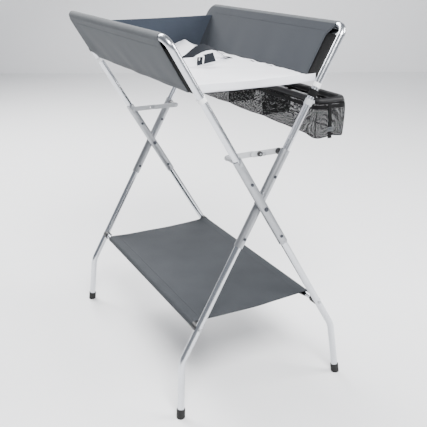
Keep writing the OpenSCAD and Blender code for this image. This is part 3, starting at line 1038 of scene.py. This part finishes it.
@dataclass(frozen=True)
class Tray(Across):
    """The tray's floor cloth with its upturned near lip, and the dark end panel at the far end."""

    half: float = 0.1722
    floor_z: float = 0.8662
    near: float = -0.3461
    far: float = 0.3452
    lip: float = 0.0195
    thick: float = 1.3 * MM
    end_y: float = 0.3455
    end_low: float = 0.8672
    end_high: float = 0.978

    def sag(self, x: float, y: float) -> float:
        """How far the floor hangs under its edges.

        Args:
            x: Along X.
            y: Along Y.

        Returns:
            The distance in metres.
        """
        across = 1 - min(abs(x) / self.half, 1.0) ** 2
        ends = 0.55 + 0.45 * math.cos(math.pi * y / 0.72) ** 2
        return across * (3.2 * MM * ends + 0.5 * MM * wave(22 * x, 14 * y, 2.0))

    @staticmethod
    def bow(x: float) -> float:
        """Where the near edge is pushed out: fully in one place, and less to both sides of it."""
        return math.exp(-(((x + 0.012) / 0.042) ** 2))

    def lip_at(self, x: float, up: float) -> Vector:
        """A place on the lip.

        Args:
            x: Along X.
            up: Its height above the floor.

        Returns:
            The point.
        """
        out = 5.5 * MM * self.bow(x) * (up / self.lip) ** 1.3
        lean = 0.5 * MM * wave(20 * x, 0, 1.0) * (up / self.lip) * (1 - ease(abs(x), 0.12, 0.16))
        return Vector((x, self.near - out - max(lean, 0), self.floor_z + up - self.sag(x, self.near)))

    def floor(self) -> bpy.types.Object:
        """The floor cloth, one piece with the lip that stands up along the near edge of the mat."""
        run = self.far - self.near
        whole = run + self.lip

        def place(u: float, v: float) -> Vector:
            x = self.half * (2 * u - 1)
            along = v * whole
            if along < self.lip:
                return self.lip_at(x, self.lip - along)
            y = self.near + along - self.lip
            return Vector((x, y, self.floor_z - self.sag(x, y)))

        piece = cloth("tray_cloth", 90, 170, (2 * self.half, whole), place, self.thick)
        dress(piece, FLOOR_CLOTH)
        smooth(piece, 60)
        return piece

    def lip_rows(self) -> list[bpy.types.Object]:
        """Two rows of stitches along the lip."""
        rows = []
        off = Vector((0, -self.thick / 2, 0))
        for i, up in enumerate((0.004, 0.0165)):
            line = [self.lip_at((self.half - 0.008) * (k / 40 - 1), up) + off for k in range(81)]
            row = stitches(f"stitch_lip_{i}", Path(line), Vector((0, 0, 1)), thread_mm=0.3)
            dress(row, FLOOR_CLOTH)
            rows.append(row)
        return rows

    def end_half(self, z: float) -> float:
        """Half the end panel's width."""
        return SHAPE.across(z) - 3.2 * MM

    def end_panel(self) -> bpy.types.Object:
        """The dark panel between the side panels at the far end, a little slack, with a hem on top."""
        rise = self.end_high - self.end_low

        def place(u: float, v: float) -> Vector:
            z = self.end_low + rise * v
            x = self.end_half(z) * (2 * u - 1)
            free = math.sin(math.pi * u) ** 0.6
            drop = 2.5 * MM * free * v
            high = z - 0.9
            crease = 1.6 * MM * wave(9 * x + 14 * high, 20 * high - 4 * x, 1.4)
            return Vector((x, self.end_y + crease * free * ease(v, 0.0, 0.3), z - drop))

        piece = cloth("end_panel_cloth", 110, 40, (2 * self.end_half(0.92), rise), place, 2.0 * MM)
        thicken(piece, lambda p: 0.4 * MM * ease(p.z, self.end_high - 0.0175, self.end_high - 0.0155))
        dress(piece, END_CLOTH)
        smooth(piece, 50)
        return piece

    def build(self) -> None:
        """Builds the cloths and bakes their transforms into their meshes."""
        floor, rows, end = self.floor(), self.lip_rows(), self.end_panel()
        for piece in (floor, *rows, end):
            self.tie(piece)
        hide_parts("tray_floor")
        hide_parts("end_panel")
        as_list(rows)


@dataclass(frozen=True)
class Mat(Across):
    """The white padded mat: vinyl over foam, a welt round its edge, its far edge lifted in one place."""

    low: float = 0.8666
    thick: float = 16 * MM
    near: float = -0.3425
    far: float = 0.3385
    half: float = 0.1705
    corner: float = 14 * MM
    voxel: float = 6 * MM
    lift: float = 26 * MM

    def hump(self, x: float, y: float) -> float:
        """How far the far edge is lifted.

        Args:
            x: Along X.
            y: Along Y.

        Returns:
            The height in metres.
        """
        peak = 0.110
        tent = max(1 - abs(x - peak) / (0.085 if x < peak else 0.052), 0.0)
        return self.lift * (tent * (0.45 + 0.55 * tent)) * ease(y, 0.17, 0.335)

    def creases(self, x: float, y: float) -> float:
        """Slow unevenness of the top.

        Args:
            x: Along X.
            y: Along Y.

        Returns:
            The height in metres.
        """
        edge = ease(min(self.half - abs(x), y - self.near, self.far - y), 0.0, 0.05)
        rim = (1 - edge) * 0.9 * MM * wave(34 * y, 30 * x, 0.6)
        return edge * 1.3 * MM * wave(16 * x, 11 * y, 4.0) + 1.6 * rim + self.side_roll(x, y)

    def side_roll(self, x: float, y: float) -> float:
        """How far the long edges climb the side panels, unevenly, as a pad a little too wide does.

        Args:
            x: Along X.
            y: Along Y.

        Returns:
            The height in metres.
        """
        by_side = ease(abs(x), self.half - 0.045, self.half - 0.004)
        uneven = 0.55 + 0.6 * wave(30 * y, 5 * x, 2.4)
        inside = ease(y - self.near, 0.015, 0.07) * ease(self.far - y, 0.01, 0.05)
        return 9.5 * MM * by_side * uneven * inside

    def pad(self) -> bpy.types.Object:
        """The pad itself, inflated as a cloth shell and then pressed flat on the tray."""
        run = self.far - self.near
        deselect()
        bpy.ops.mesh.primitive_cube_add(size=1)
        piece = name_new("mat_pad")
        size = (2 * self.half - 0.006, run - 0.006, self.thick * 0.62)
        for v in piece.data.vertices:
            v.co = Vector((v.co.x * size[0], v.co.y * size[1], v.co.z * size[2]))
        apply(piece, "REMESH", mode="VOXEL", voxel_size=self.voxel * 1)
        self.inflate(piece)
        apply(piece, "SUBSURF", levels=1, render_levels=1)
        top = max(v.co.z for v in piece.data.vertices)
        centre = 0.5 * (self.near + self.far)
        for v in piece.data.vertices:
            p = v.co
            x, y = p.x, p.y + centre
            share = p.z / top
            puff = self.thick / 2 * share
            if share < 0:
                puff = max(puff * 1.3, -self.thick / 2)
            z = self.low + self.thick / 2 + puff + self.creases(x, y) * max(share, 0) + self.hump(x, y)
            y += 4.5 * MM * Tray.bow(x) * (1 - ease(y - self.near, 0.0, 0.03))
            v.co = Vector((x, y, z - Tray().sag(x, y) * (0.9 if share < 0 else 0.5)))
        merge_and_face_out(piece)
        dress(piece, MAT_VINYL)
        smooth(piece, 60)
        return piece

    @staticmethod
    def inflate(piece: bpy.types.Object) -> None:
        """Blows the shell up a little as cloth, so that its skin puckers as a sewn cover does.

        Args:
            piece: The shell.
        """
        rest = [v.co.copy() for v in piece.data.vertices]
        pick(piece)
        skin = piece.modifiers.new("Cloth", "CLOTH")
        skin.settings.use_pressure = True
        skin.settings.uniform_pressure_force = 4.0
        skin.settings.quality = 4
        skin.settings.tension_stiffness = 30
        skin.settings.compression_stiffness = 30
        skin.settings.shear_stiffness = 12
        skin.settings.bending_stiffness = 0.6
        skin.settings.effector_weights.gravity = 0.0
        skin.collision_settings.use_collision = False
        last, furthest = 20, 5 * MM
        skin.point_cache.frame_start = 1
        skin.point_cache.frame_end = last
        for frame_number in range(1, last + 1):
            bpy.context.scene.frame_set(frame_number)
        bpy.ops.object.modifier_apply(modifier=skin.name)
        bpy.context.scene.frame_set(1)
        for v, old in zip(piece.data.vertices, rest):
            move = v.co - old
            if move.length > furthest:
                v.co = old + move.normalized() * furthest

    def welt(self) -> bpy.types.Object:
        """The narrow welt sewn round the pad's edge."""
        inset, bend, between = 0.4 * MM, 6, 24
        half_run, centre = 0.5 * (self.far - self.near) - inset, 0.5 * (self.near + self.far)
        outline = rounded(self.half - inset, half_run, self.corner, bend)
        ring = [Vector((x, y + centre, 0)) for x, y in outline]
        ring = ring[-bend - 1:] + ring[:-bend - 1]
        points = []
        for i, p in enumerate(ring):
            points.append(p)
            if (i + 1) % (bend + 1) == 0:
                points += [p.lerp(ring[(i + 1) % len(ring)], k / between) for k in range(1, between)]
        for p in points:
            p.z = self.low + 0.45 * self.thick + self.hump(p.x, p.y) + 0.5 * self.side_roll(p.x, p.y)
        line = Path(points, closed=True)
        piece = tube_on("mat_welt", line, 10, 420, lambda u, a: 1.5 * MM, Vector((0, 0, 1)))
        dress(piece, MAT_VINYL)
        smooth(piece, 80)
        return piece

    def build(self) -> None:
        """Builds the mat and bakes its pieces' transforms into their meshes."""
        pad, welt = self.pad(), self.welt()
        for piece in (pad, welt):
            self.tie(piece)
        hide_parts("changing_mat")


@dataclass(frozen=True)
class Belt(Across):
    """The waist belt: an arch of grey webbing lined in white, and a white strap with its buckle in front."""

    width: float = 0.034
    thick: float = 1.6 * MM
    top: float = 0.8838
    arch_y: float = 0.0115
    front_y: float = -0.084
    front_w: float = 0.025
    window: tuple[float, float] = (0.0165, 0.0215)
    bar: float = 2.5 * MM

    def arch(self, lift: float, name: str) -> bpy.types.Object:
        """A strap that rises from the mat, bends over and comes down again.

        Args:
            lift: Raises the whole line, so that one strap can line another.
            name: The piece's name.

        Returns:
            The strap.
        """
        rise = (
            (-0.050, 0.0), (-0.038, 0.00135), (-0.026, 0.0072), (-0.012, 0.0171), (0.004, 0.027),
            (0.020, 0.03285), (0.036, 0.03465), (0.052, 0.03285), (0.066, 0.027), (0.080, 0.01755),
            (0.094, 0.0072), (0.107, 0.00108), (0.122, 0.0),
        )
        line = Path([Vector((x, self.arch_y + 0.05 * x, self.top + z + lift)) for x, z in rise])
        fine = Path([line.at(i / 60) for i in range(61)])
        return strap_on(name, fine, self.width, self.thick * 0.9, self.lay, 90)

    @staticmethod
    def lay(u: float) -> Vector:
        """The arch's crosswise direction: tipped towards the near side at its left foot, flat further on."""
        tip = 1 - ease(u, 0.25, 0.75)
        return Vector((0.12 + 0.2 * tip, 1.0 - 0.25 * tip, 0.75 * tip))

    def front(self) -> list[bpy.types.Object]:
        """The white strap from the left side to the buckle, and the grey end that leaves it."""

        def twist(u: float) -> Vector:
            a = math.radians(12 + 62 * ease(u, 0.1, 0.7))
            return Vector((0.0, math.cos(a), math.sin(a)))

        left = Path([
            Vector((
                -0.160 + 0.120 * t,
                self.front_y + 0.029 * (1 - ease(t, 0.0, 0.8)),
                self.top + 0.0005 + 0.0115 * ease(t, 0.1, 0.75),
            ))
            for t in (i / 40 for i in range(41))
        ])
        white = strap_on("belt_white_strap", left, self.front_w, self.thick, twist, 80)
        dress(white, WHITE_WEBBING)
        right = Path([
            Vector((-0.038 + 0.058 * t, self.front_y + 0.002 + 0.006 * t, self.top + 0.0135 + 0.007 * t))
            for t in (i / 24 for i in range(25))
        ])

        def turned_up(u: float) -> Vector:
            return Vector((-0.22 * u, 0.3, 1.0))

        grey = strap_on("belt_grey_end", right, self.front_w, self.thick * 1.3, turned_up, 40)
        dress(grey, GREY_WEBBING)
        return [white, grey]

    def buckle(self) -> bpy.types.Object:
        """A white frame with rounded bars and a middle bar."""
        centre = Vector((-0.030, self.front_y - 0.001, self.top + 0.0145))
        lean = Matrix.Rotation(math.radians(16), 3, "X")
        w, h = self.window[0] / 2 + self.bar, self.window[1] / 2 + self.bar
        points = [centre + lean @ Vector((x, 0, z)) for x, z in rounded(w, h, 3 * MM, 6)]
        face = lean @ Vector((0, 1, 0))
        piece = tube_on("belt_buckle_frame", Path(points, closed=True), 14, 120, lambda u, a: self.bar, face)
        rail = Path([centre + lean @ Vector((0.0005, 0.004, h * (k / 4 - 1))) for k in range(9)])
        middle = tube_on("belt_buckle_bar", rail, 12, 16, lambda u, a: self.bar * 0.7, Vector((0, 1, 0)))
        deselect()
        middle.select_set(True)
        piece.select_set(True)
        bpy.context.view_layer.objects.active = piece
        bpy.ops.object.join()
        dress(piece, WHITE_ACETAL)
        smooth(piece, 60)
        return piece

    def build(self) -> None:
        """Builds the belt and bakes its pieces' transforms into their meshes."""
        outer, lining = self.arch(0.0, "belt_arch"), self.arch(-self.thick, "belt_lining")
        dress(outer, GREY_WEBBING)
        dress(lining, WHITE_WEBBING)
        white, grey = self.front()
        buckle = self.buckle()
        for piece in (outer, lining, white, grey, buckle):
            self.tie(piece)
        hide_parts("belt_strap")
        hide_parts("belt_buckle")


@dataclass(frozen=True)
class Shelf(Across):
    """The shelf cloth: sewn sleeves round both shelf tubes and a slack sheet between them."""

    tube_x: float = 0.1813
    tube_z: float = 0.244
    wrap_r: float = 9.0 * MM
    seam: float = 26 * MM
    half_y: float = 0.3298
    slack: float = 5.0 * MM
    thick: float = 0.9 * MM

    def profile(self) -> Path:
        """The cloth's line across, seen along Y, with no sag yet."""
        left = Vector((-self.tube_x, 0, self.tube_z))
        right = Vector((self.tube_x, 0, self.tube_z))
        low = -math.radians(52)
        start = Vector((self.wrap_r * math.cos(low), 0, self.wrap_r * math.sin(low)))
        wrap = arc(left, start, Vector((0, 1, 0)), 360 - 90 - 52, 20)
        top = self.tube_z + self.wrap_r
        seam = Vector((-self.tube_x + self.seam, 0, top - 1.5 * MM))
        run = [Vector((-self.tube_x + 2 * self.tube_x * i / 60, 0, top)) for i in range(1, 60)]
        mirrored = [Vector((-p.x, 0, p.z)) for p in reversed(wrap)]
        return Path([seam, *wrap, *run, *mirrored, Vector((right.x - self.seam, 0, seam.z))])

    def sag(self, x: float, y: float) -> float:
        """How far the sheet hangs under its tubes.

        Args:
            x: Along X.
            y: Along Y.

        Returns:
            The distance in metres.
        """
        share = max(1 - (abs(x) / (self.tube_x - 0.004)) ** 2, 0.0)
        ends = 1 + 0.1 * (y / self.half_y) ** 4
        return share * (self.slack * ends + 1.1 * MM * wave(13 * x, 10 * y, 3.3)) * ease(share, 0.0, 0.3)

    def build(self) -> None:
        """Builds the cloth with its hems and its stitches, and bakes their transforms into their meshes."""
        line = self.profile()

        def place(u: float, v: float) -> Vector:
            p = line.at(u)
            y = self.half_y * (2 * v - 1)
            return Vector((p.x, y, p.z - self.sag(p.x, y)))

        flat = (line.length, 2 * self.half_y)
        piece = cloth("shelf_cloth", 150, 120, flat, place, self.thick)
        thicken(piece, lambda p: 0.35 * MM * ease(abs(p.y), self.half_y - 0.0165, self.half_y - 0.0145))
        dress(piece, SHELF_CLOTH)
        smooth(piece, 60)
        rows = []
        lift = self.tube_z + self.wrap_r + self.thick / 2 + 0.1 * MM
        for sign in (-1, 1):
            x = sign * (self.tube_x - self.seam + 3 * MM)
            points = [Vector((x, y, lift - self.sag(x, y))) for y in self.steps(self.half_y - 0.004, 90)]
            rows.append(stitches(f"stitch_shelf_x{sign + 1}", Path(points), Vector((0, 0, 1))))
            y = sign * (self.half_y - 0.0135)
            points = [Vector((x, y, lift - self.sag(x, y))) for x in self.steps(self.tube_x - self.seam, 60)]
            rows.append(stitches(f"stitch_shelf_y{sign + 1}", Path(points), Vector((0, 0, 1))))
        for row in rows:
            dress(row, SHELF_CLOTH)
        for part in (piece, *rows):
            self.tie(part, Side.RIGHT)
        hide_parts("shelf_cloth_panel")

    @staticmethod
    def steps(reach: float, count: int) -> Iterable[float]:
        """Even steps from minus the reach to the reach."""
        return (reach * (2 * i / count - 1) for i in range(count + 1))


@dataclass(frozen=True)
class Basket:
    """The mesh basket on the right frame: padded rim, bag, partitions, seams, loops and a hanging strap."""

    x0: float = 0.1718
    x1: float = 0.2528
    y0: float = -0.3678
    y1: float = 0.3944
    z: float = 0.815
    rim_r: float = 8.8 * MM
    corner_r: float = 24 * MM
    depth: float = 86 * MM
    edge: float = 8.1 * MM
    lean: float = 5 * MM
    part_y: tuple[float, float] = (-0.1044, 0.1028)

    @property
    def top(self) -> float:
        """Where the bag's walls start."""
        return self.z - 2 * MM

    def loop(self, grow: float, corner: float, z: float, shift: float = 0.0) -> Path:
        """A rounded rectangle round the basket.

        Args:
            grow: How far outside the rim's middle line.
            corner: Its corners' radius.
            z: Its height.
            shift: Moves it towards the legs.

        Returns:
            The closed line, from the middle of the outer long side.
        """
        cx, cy = 0.5 * (self.x0 + self.x1) - shift, 0.5 * (self.y0 + self.y1)
        half_w, half_l = 0.5 * (self.x1 - self.x0) + grow, 0.5 * (self.y1 - self.y0) + grow
        line = [(half_w, 0.0), *rounded(half_w, half_l, corner, 8)]
        return Path([Vector((cx + x, cy + y, z)) for x, y in line], closed=True)

    @cached_property
    def loop_top(self) -> Path:
        """The line that the bag's walls hang from."""
        return self.loop(self.edge + 0.2 * MM, self.corner_r + 4 * MM, self.top)

    @cached_property
    def loop_low(self) -> Path:
        """The line that the bag's walls run down to."""
        return self.loop(self.edge - 2 * MM, 16 * MM, self.top - self.depth, self.lean)

    def rim(self) -> bpy.types.Object:
        """The padded rim: foam in a gathered cover."""

        def radius(u: float, a: float) -> float:
            gather = 0.28 * MM * math.sin(2 * math.pi * 430 * u + 1.5 * math.sin(9 * u))
            gather *= ease(-math.cos(a - 1.9), -0.2, 0.9)
            return self.rim_r + gather + 0.25 * MM * wave(70 * u, 2 * a, 2.0)

        line = self.loop(0, self.corner_r, self.z)
        piece = tube_on("basket_rim_pad", line, 26, 1000, radius, Vector((0, 0, 1)))
        dress(piece, RIM_COVER)
        smooth(piece, 80)
        return piece

    def wall(self, u: float, v: float) -> Vector:
        """A place on the bag's wall.

        Args:
            u: Share of the way round.
            v: Share of the way down.

        Returns:
            The point.
        """
        high = self.loop_top.at(u)
        low = self.loop_low.at(u)
        p = high.lerp(low, v)
        mid_y = min(max(p.y, self.y0 + 0.05), self.y1 - 0.05)
        out = (p - Vector((0.5 * (self.x0 + self.x1) - self.lean * v, mid_y, p.z))).normalized()
        near_part = min(abs(p.y - y) for y in self.part_y)
        tight = ease(near_part, 0.0, 0.04)
        bulge = math.sin(math.pi * min(v * 0.95 + 0.05, 1)) * (1.2 + 2.2 * tight) * MM
        crumple = ease(v, 0.05, 0.5) * 1.1 * MM * wave(95 * u, 5 * v, 6.0)
        p += out * (bulge * (0.4 if abs(out.y) > 0.8 else 1) + crumple - 1.5 * MM * v)
        p.z -= self.droop(p) * v
        return p

    def droop(self, p: Vector) -> float:
        """How much lower the bag hangs at its corners and between its partitions.

        Args:
            p: A place on the bag.

        Returns:
            The distance in metres.
        """
        ends = [(x, y) for x in (self.x0, self.x1) for y in (self.y0, self.y1)]
        corner = min((p.x - x) ** 2 + (p.y - y) ** 2 for x, y in ends)
        near_part = min(abs(p.y - y) for y in self.part_y)
        return 7 * MM * math.exp(-corner / 0.038**2) + 2.5 * MM * ease(near_part, 0.0, 0.07) - 2 * MM

    def bag(self) -> bpy.types.Object:
        """Walls and bottom of mesh cloth, in one piece."""
        around, down, inward = 420, 20, 10
        share = down / (down + inward)

        def place(u: float, v: float) -> Vector:
            if v <= share:
                return self.wall(u, v / share)
            t = (v - share) / (1 - share)
            p = self.wall(u, 1.0)
            half = 0.5 * (self.x1 - self.x0) + self.edge
            mid_y = min(max(p.y, self.y0 + half), self.y1 - half)
            q = p.lerp(Vector((0.5 * (self.x0 + self.x1) - self.lean, mid_y, p.z)), t)
            dip = 2.5 * MM * math.sin(math.pi * min(2 * t, 1) / 2)
            q.z = p.z - dip + 0.9 * MM * wave(40 * q.x, 30 * q.y, 1.0) * t
            q.z = q.z * (1 - t) + (self.top - self.depth - 1.5 * MM) * t
            return q

        size = (self.loop_top.length, self.depth / share)
        piece = sheet_grid("basket_mesh_bag", around, down + inward, size, place)
        merge_and_face_out(piece, 0.05 * MM)
        layer = piece.data.uv_layers.active.data
        for face in piece.data.polygons:
            if abs(face.normal.z) > 0.75:
                for i in face.loop_indices:
                    co = piece.data.vertices[piece.data.loops[i].vertex_index].co
                    layer[i].uv = (co.x, co.y)
        dress(piece, MESH)
        smooth(piece, 60)
        return piece

    def partition(self, y: float, name: str) -> bpy.types.Object:
        """A mesh wall across the basket.

        Args:
            y: Its place.
            name: The piece's name.

        Returns:
            The wall.
        """
        high, low = self.top - 10 * MM, self.top - self.depth + 2.5 * MM

        def place(u: float, v: float) -> Vector:
            z = low + (high - low) * v
            lean = self.lean * (self.top - z) / self.depth
            half = 0.5 * (self.x1 - self.x0) + self.edge - 2.2 * MM
            x = 0.5 * (self.x0 + self.x1) - lean + half * (2 * u - 1)
            dip = 5 * MM * math.sin(math.pi * u) * v
            return Vector((x, y + 1.5 * MM * math.sin(math.pi * u) * math.sin(3 * v), z - dip))

        piece = sheet_grid(name, 36, 26, (self.x1 - self.x0 + 2 * self.edge, high - low), place)
        apply(piece, "SOLIDIFY", thickness=0.5 * MM, offset=0)
        dress(piece, MESH)
        smooth(piece, 60)
        return piece

    def seams(self) -> list[bpy.types.Object]:
        """Tapes under the rim, round the bottom, down the corners and down the partitions' lines."""
        up, slant = Vector((0, 0, 1)), Vector((0.7, 0.7, 0.1))

        def seam_r(u: float, a: float) -> float:
            return 1.1 * MM

        top_line, low_line = (
            Path([self.wall(i / 400, down) for i in range(400)], closed=True) for down in (0.13, 1.0)
        )
        made = [
            strap_on("basket_top_tape", top_line, 10 * MM, 1.4 * MM, lambda _: up, 420, 4),
            tube_on("basket_low_seam", low_line, 8, 500, seam_r, up),
        ]
        for k, share in enumerate(self.corner_shares()):
            line = Path([self.wall(share, 0.1 + 0.9 * i / 16) for i in range(17)])
            made.append(tube_on(f"basket_seam_{k}", line, 8, 30, seam_r, slant))
        for piece in made:
            if "seam" in piece.name:
                smooth(piece, 80)
            dress(piece, BLACK_TAPE)
        return made

    def corner_shares(self) -> list[float]:
        """Where the four corners and the partitions' four ends are, as shares of the way round."""
        sides = (self.x0 - self.edge, self.x1 + self.edge)
        corners = [Vector((x, y, self.top)) for x in sides for y in (self.y0, *self.part_y, self.y1)]
        tries = [i / 800 for i in range(800)]
        return [min(tries, key=lambda share: (self.loop_top.at(share) - c).length) for c in corners]

    def leg_loop(self, y: float, word: str) -> list[bpy.types.Object]:
        """Webbing round the leg above the hook, with a tab that reaches the rim.

        Args:
            y: The leg's place.
            word: Near or far.

        Returns:
            The ring and its tab.
        """
        z = self.z + 22 * MM * math.cos(SHAPE.lean) + 3 * MM
        axis = SHAPE.slope(Side.RIGHT)
        centre = Vector((SHAPE.across(z), y, z))
        ring = Path(arc(centre, Vector((0, 11.3 * MM, 0)), axis, 360, 36)[:-1], closed=True)
        band = strap_on(f"basket_loop_{word}", ring, 19 * MM, 1.5 * MM, lambda _: axis, 48, 6)
        tab_line = Path([
            Vector((centre.x + 0.0118 + 0.010 * t, y - 0.004 * t, z - 0.004 - 0.012 * t - 0.004 * t * t))
            for t in (i / 16 for i in range(17))
        ])
        tab = strap_on(f"basket_tab_{word}", tab_line, 12 * MM, 1.4 * MM, lambda _: Vector((0, 1, 0)), 20, 4)
        for piece in (band, tab):
            dress(piece, BLACK_TAPE)
        return [band, tab]

    def strap(self) -> list[bpy.types.Object]:
        """The strap that hangs down the bag's near end, with a grey slider on it."""
        x, y, top = 0.198, self.y0 - self.edge - 2.4 * MM, self.z - 4 * MM
        line = Path([
            Vector((x + 0.003 * t, y - 2.2 * MM * math.sin(2.6 * t), top - 0.093 * t))
            for t in (i / 40 for i in range(41))
        ])

        def across(u: float) -> Vector:
            return Vector((1, 0.12 * math.sin(4 * u), 0))

        tape = strap_on("basket_hanging_strap", line, 12 * MM, 1.5 * MM, across, 60, 4)
        dress(tape, BLACK_TAPE)
        at = line.at(0.73)
        w, h, r = 7.2 * MM, 4.4 * MM, 2 * MM
        frame = Path([at + Vector((a, -1.4 * MM, b)) for a, b in rounded(w, h, r, 5)], closed=True)
        slider = tube_on("basket_slider", frame, 12, 80, lambda u, a: 1.5 * MM, Vector((0, 1, 0)))
        rail = Path([at + Vector(((w - r) * s / 4, -1.9 * MM, 0)) for s in range(-5, 6)])
        bar = tube_on("basket_slider_bar", rail, 10, 12, lambda u, a: 1.2 * MM, Vector((0, 1, 0)))
        for piece in (slider, bar):
            dress(piece, DARK_NYLON)
            smooth(piece, 60)
        return [tape, slider, bar]

    def build(self) -> None:
        """Builds the basket and ties it to the right frame."""
        rim, bag = self.rim(), self.bag()
        walls = [self.partition(y, f"basket_partition_{i}") for i, y in enumerate(self.part_y)]
        seams = self.seams()
        near, far = self.leg_loop(-SHAPE.inner_y, "near"), self.leg_loop(SHAPE.outer_y, "far")
        strap = self.strap()
        for piece in (rim, bag, *walls, *seams, *near, *far, *strap):
            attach(piece, "right_frame")
        for piece in strap[1:]:
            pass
        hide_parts("basket_rim")
        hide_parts("basket_bag")
        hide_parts("basket_dividers")
        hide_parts("basket_loops")
        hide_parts("basket_strap")


# ---- Hard pieces ----


class Hardware:
    """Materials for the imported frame's own nodes, by what they are made of."""

    MADE_OF: dict[str, Finish] = {
        "top_hoop": TUBE,
        "lower_leg": TUBE,
        "shelf_tube": TUBE,
        "sleeve": SLEEVE,
        "leg_rivets": RIVET,
        "pivot_bolt": RIVET,
        "shelf_screws": ZINC,
        "brace_pins": ZINC,
        "brace_rivet": ZINC,
        "lock_pin": ZINC,
        "pull_ring": ZINC,
        "brace_arm": ARM,
        "pivot_spacer": BLACK_ABS,
        "brace_blocks_left": ARM,
        "brace_blocks_right": BLACK_ABS,
        "shelf_plugs": BLACK_ABS,
        "lock_knob": BLACK_ABS,
        "foot_cap": RUBBER,
        "tray_clips": WHITE_ACETAL,
        "basket_hooks": GREY_ACETAL,
    }

    def dress(self, nodes: dict[str, bpy.types.Object]) -> None:
        """Puts the finishes in the material slots of the nodes that are shown.

        Args:
            nodes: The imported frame's nodes by name.
        """
        for name, node in nodes.items():
            if node.hide_render:
                continue
            found = [finish for stem, finish in self.MADE_OF.items() if name.startswith(stem)]
            if not found:
                log.warning("no finish for %s", name)
                continue
            for place in node.material_slots:
                place.material = found[0].material()


@dataclass(frozen=True)
class Studio:
    """Pale floor and backdrop, soft lights and the camera."""

    eye: tuple[float, float, float] = (-0.848, -1.777, 1.178)
    azimuth: float = -29.21
    down: float = 19.93
    lens: float = 57.28
    shift: tuple[float, float] = (-0.0632, -0.0356)

    def build(self) -> None:
        """Builds the studio."""
        white = Finish("studio_white", "#f3f3f4", "#f0f0f1", 0.9, 3.0, 0.01)
        deselect()
        bpy.ops.mesh.primitive_plane_add(size=14, location=(0, 0, -0.0005))
        floor = name_new("floor")
        upright = (math.radians(90), 0, math.radians(-28))
        bpy.ops.mesh.primitive_plane_add(size=14, location=(2.2, 4.6, 0), rotation=upright)
        backdrop = name_new("backdrop")
        for piece in (floor, backdrop):
            dress(piece, white)
        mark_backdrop(floor, backdrop)
        self.light("key", (-0.6, -2.2, 3.0), 1.3, 215)
        self.light("fill", (2.6, -1.6, 2.2), 1.6, 140)
        self.light("back", (-0.4, 2.8, 3.2), 2.4, 330)
        world = bpy.data.worlds.new("studio_air")
        world.use_nodes = True
        world.node_tree.nodes["Background"].inputs["Color"].default_value = linear("#c2c7cf")
        world.node_tree.nodes["Background"].inputs["Strength"].default_value = 0.55
        bpy.context.scene.world = world
        self.camera()

    def light(self, name: str, place: tuple[float, float, float], size: float, power: float) -> None:
        """Adds a soft light that looks at the table's middle.

        Args:
            name: Its name.
            place: Where it is.
            size: Its side in metres.
            power: Its power in watts.
        """
        bpy.ops.object.light_add(type="AREA", location=place)
        lamp = bpy.context.active_object
        lamp.name = name
        lamp.data.size = size
        lamp.data.energy = power
        lamp.rotation_euler = (Vector((0, 0, 0.6)) - Vector(place)).to_track_quat("-Z", "Y").to_euler()

    def camera(self) -> None:
        """Adds the camera."""
        bpy.ops.object.camera_add(location=self.eye)
        camera = bpy.context.active_object
        camera.rotation_euler = (math.radians(90 - self.down), 0, math.radians(self.azimuth))
        camera.data.lens = self.lens
        camera.data.sensor_width = 36
        camera.data.shift_x, camera.data.shift_y = self.shift
        bpy.context.scene.camera = camera


def main() -> None:
    """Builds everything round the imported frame."""
    logging.basicConfig(level=logging.INFO, format="%(name)s: %(message)s")
    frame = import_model()
    for side in Side:
        SidePanel(side).build()
    Tray().build()
    Mat().build()
    Belt().build()
    Shelf().build()
    Basket().build()
    Hardware().dress(frame["nodes"])
    Studio().build()
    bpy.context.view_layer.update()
    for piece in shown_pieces():
        log.info("piece %s", piece.name)


if __name__ == "__main__":
    main()
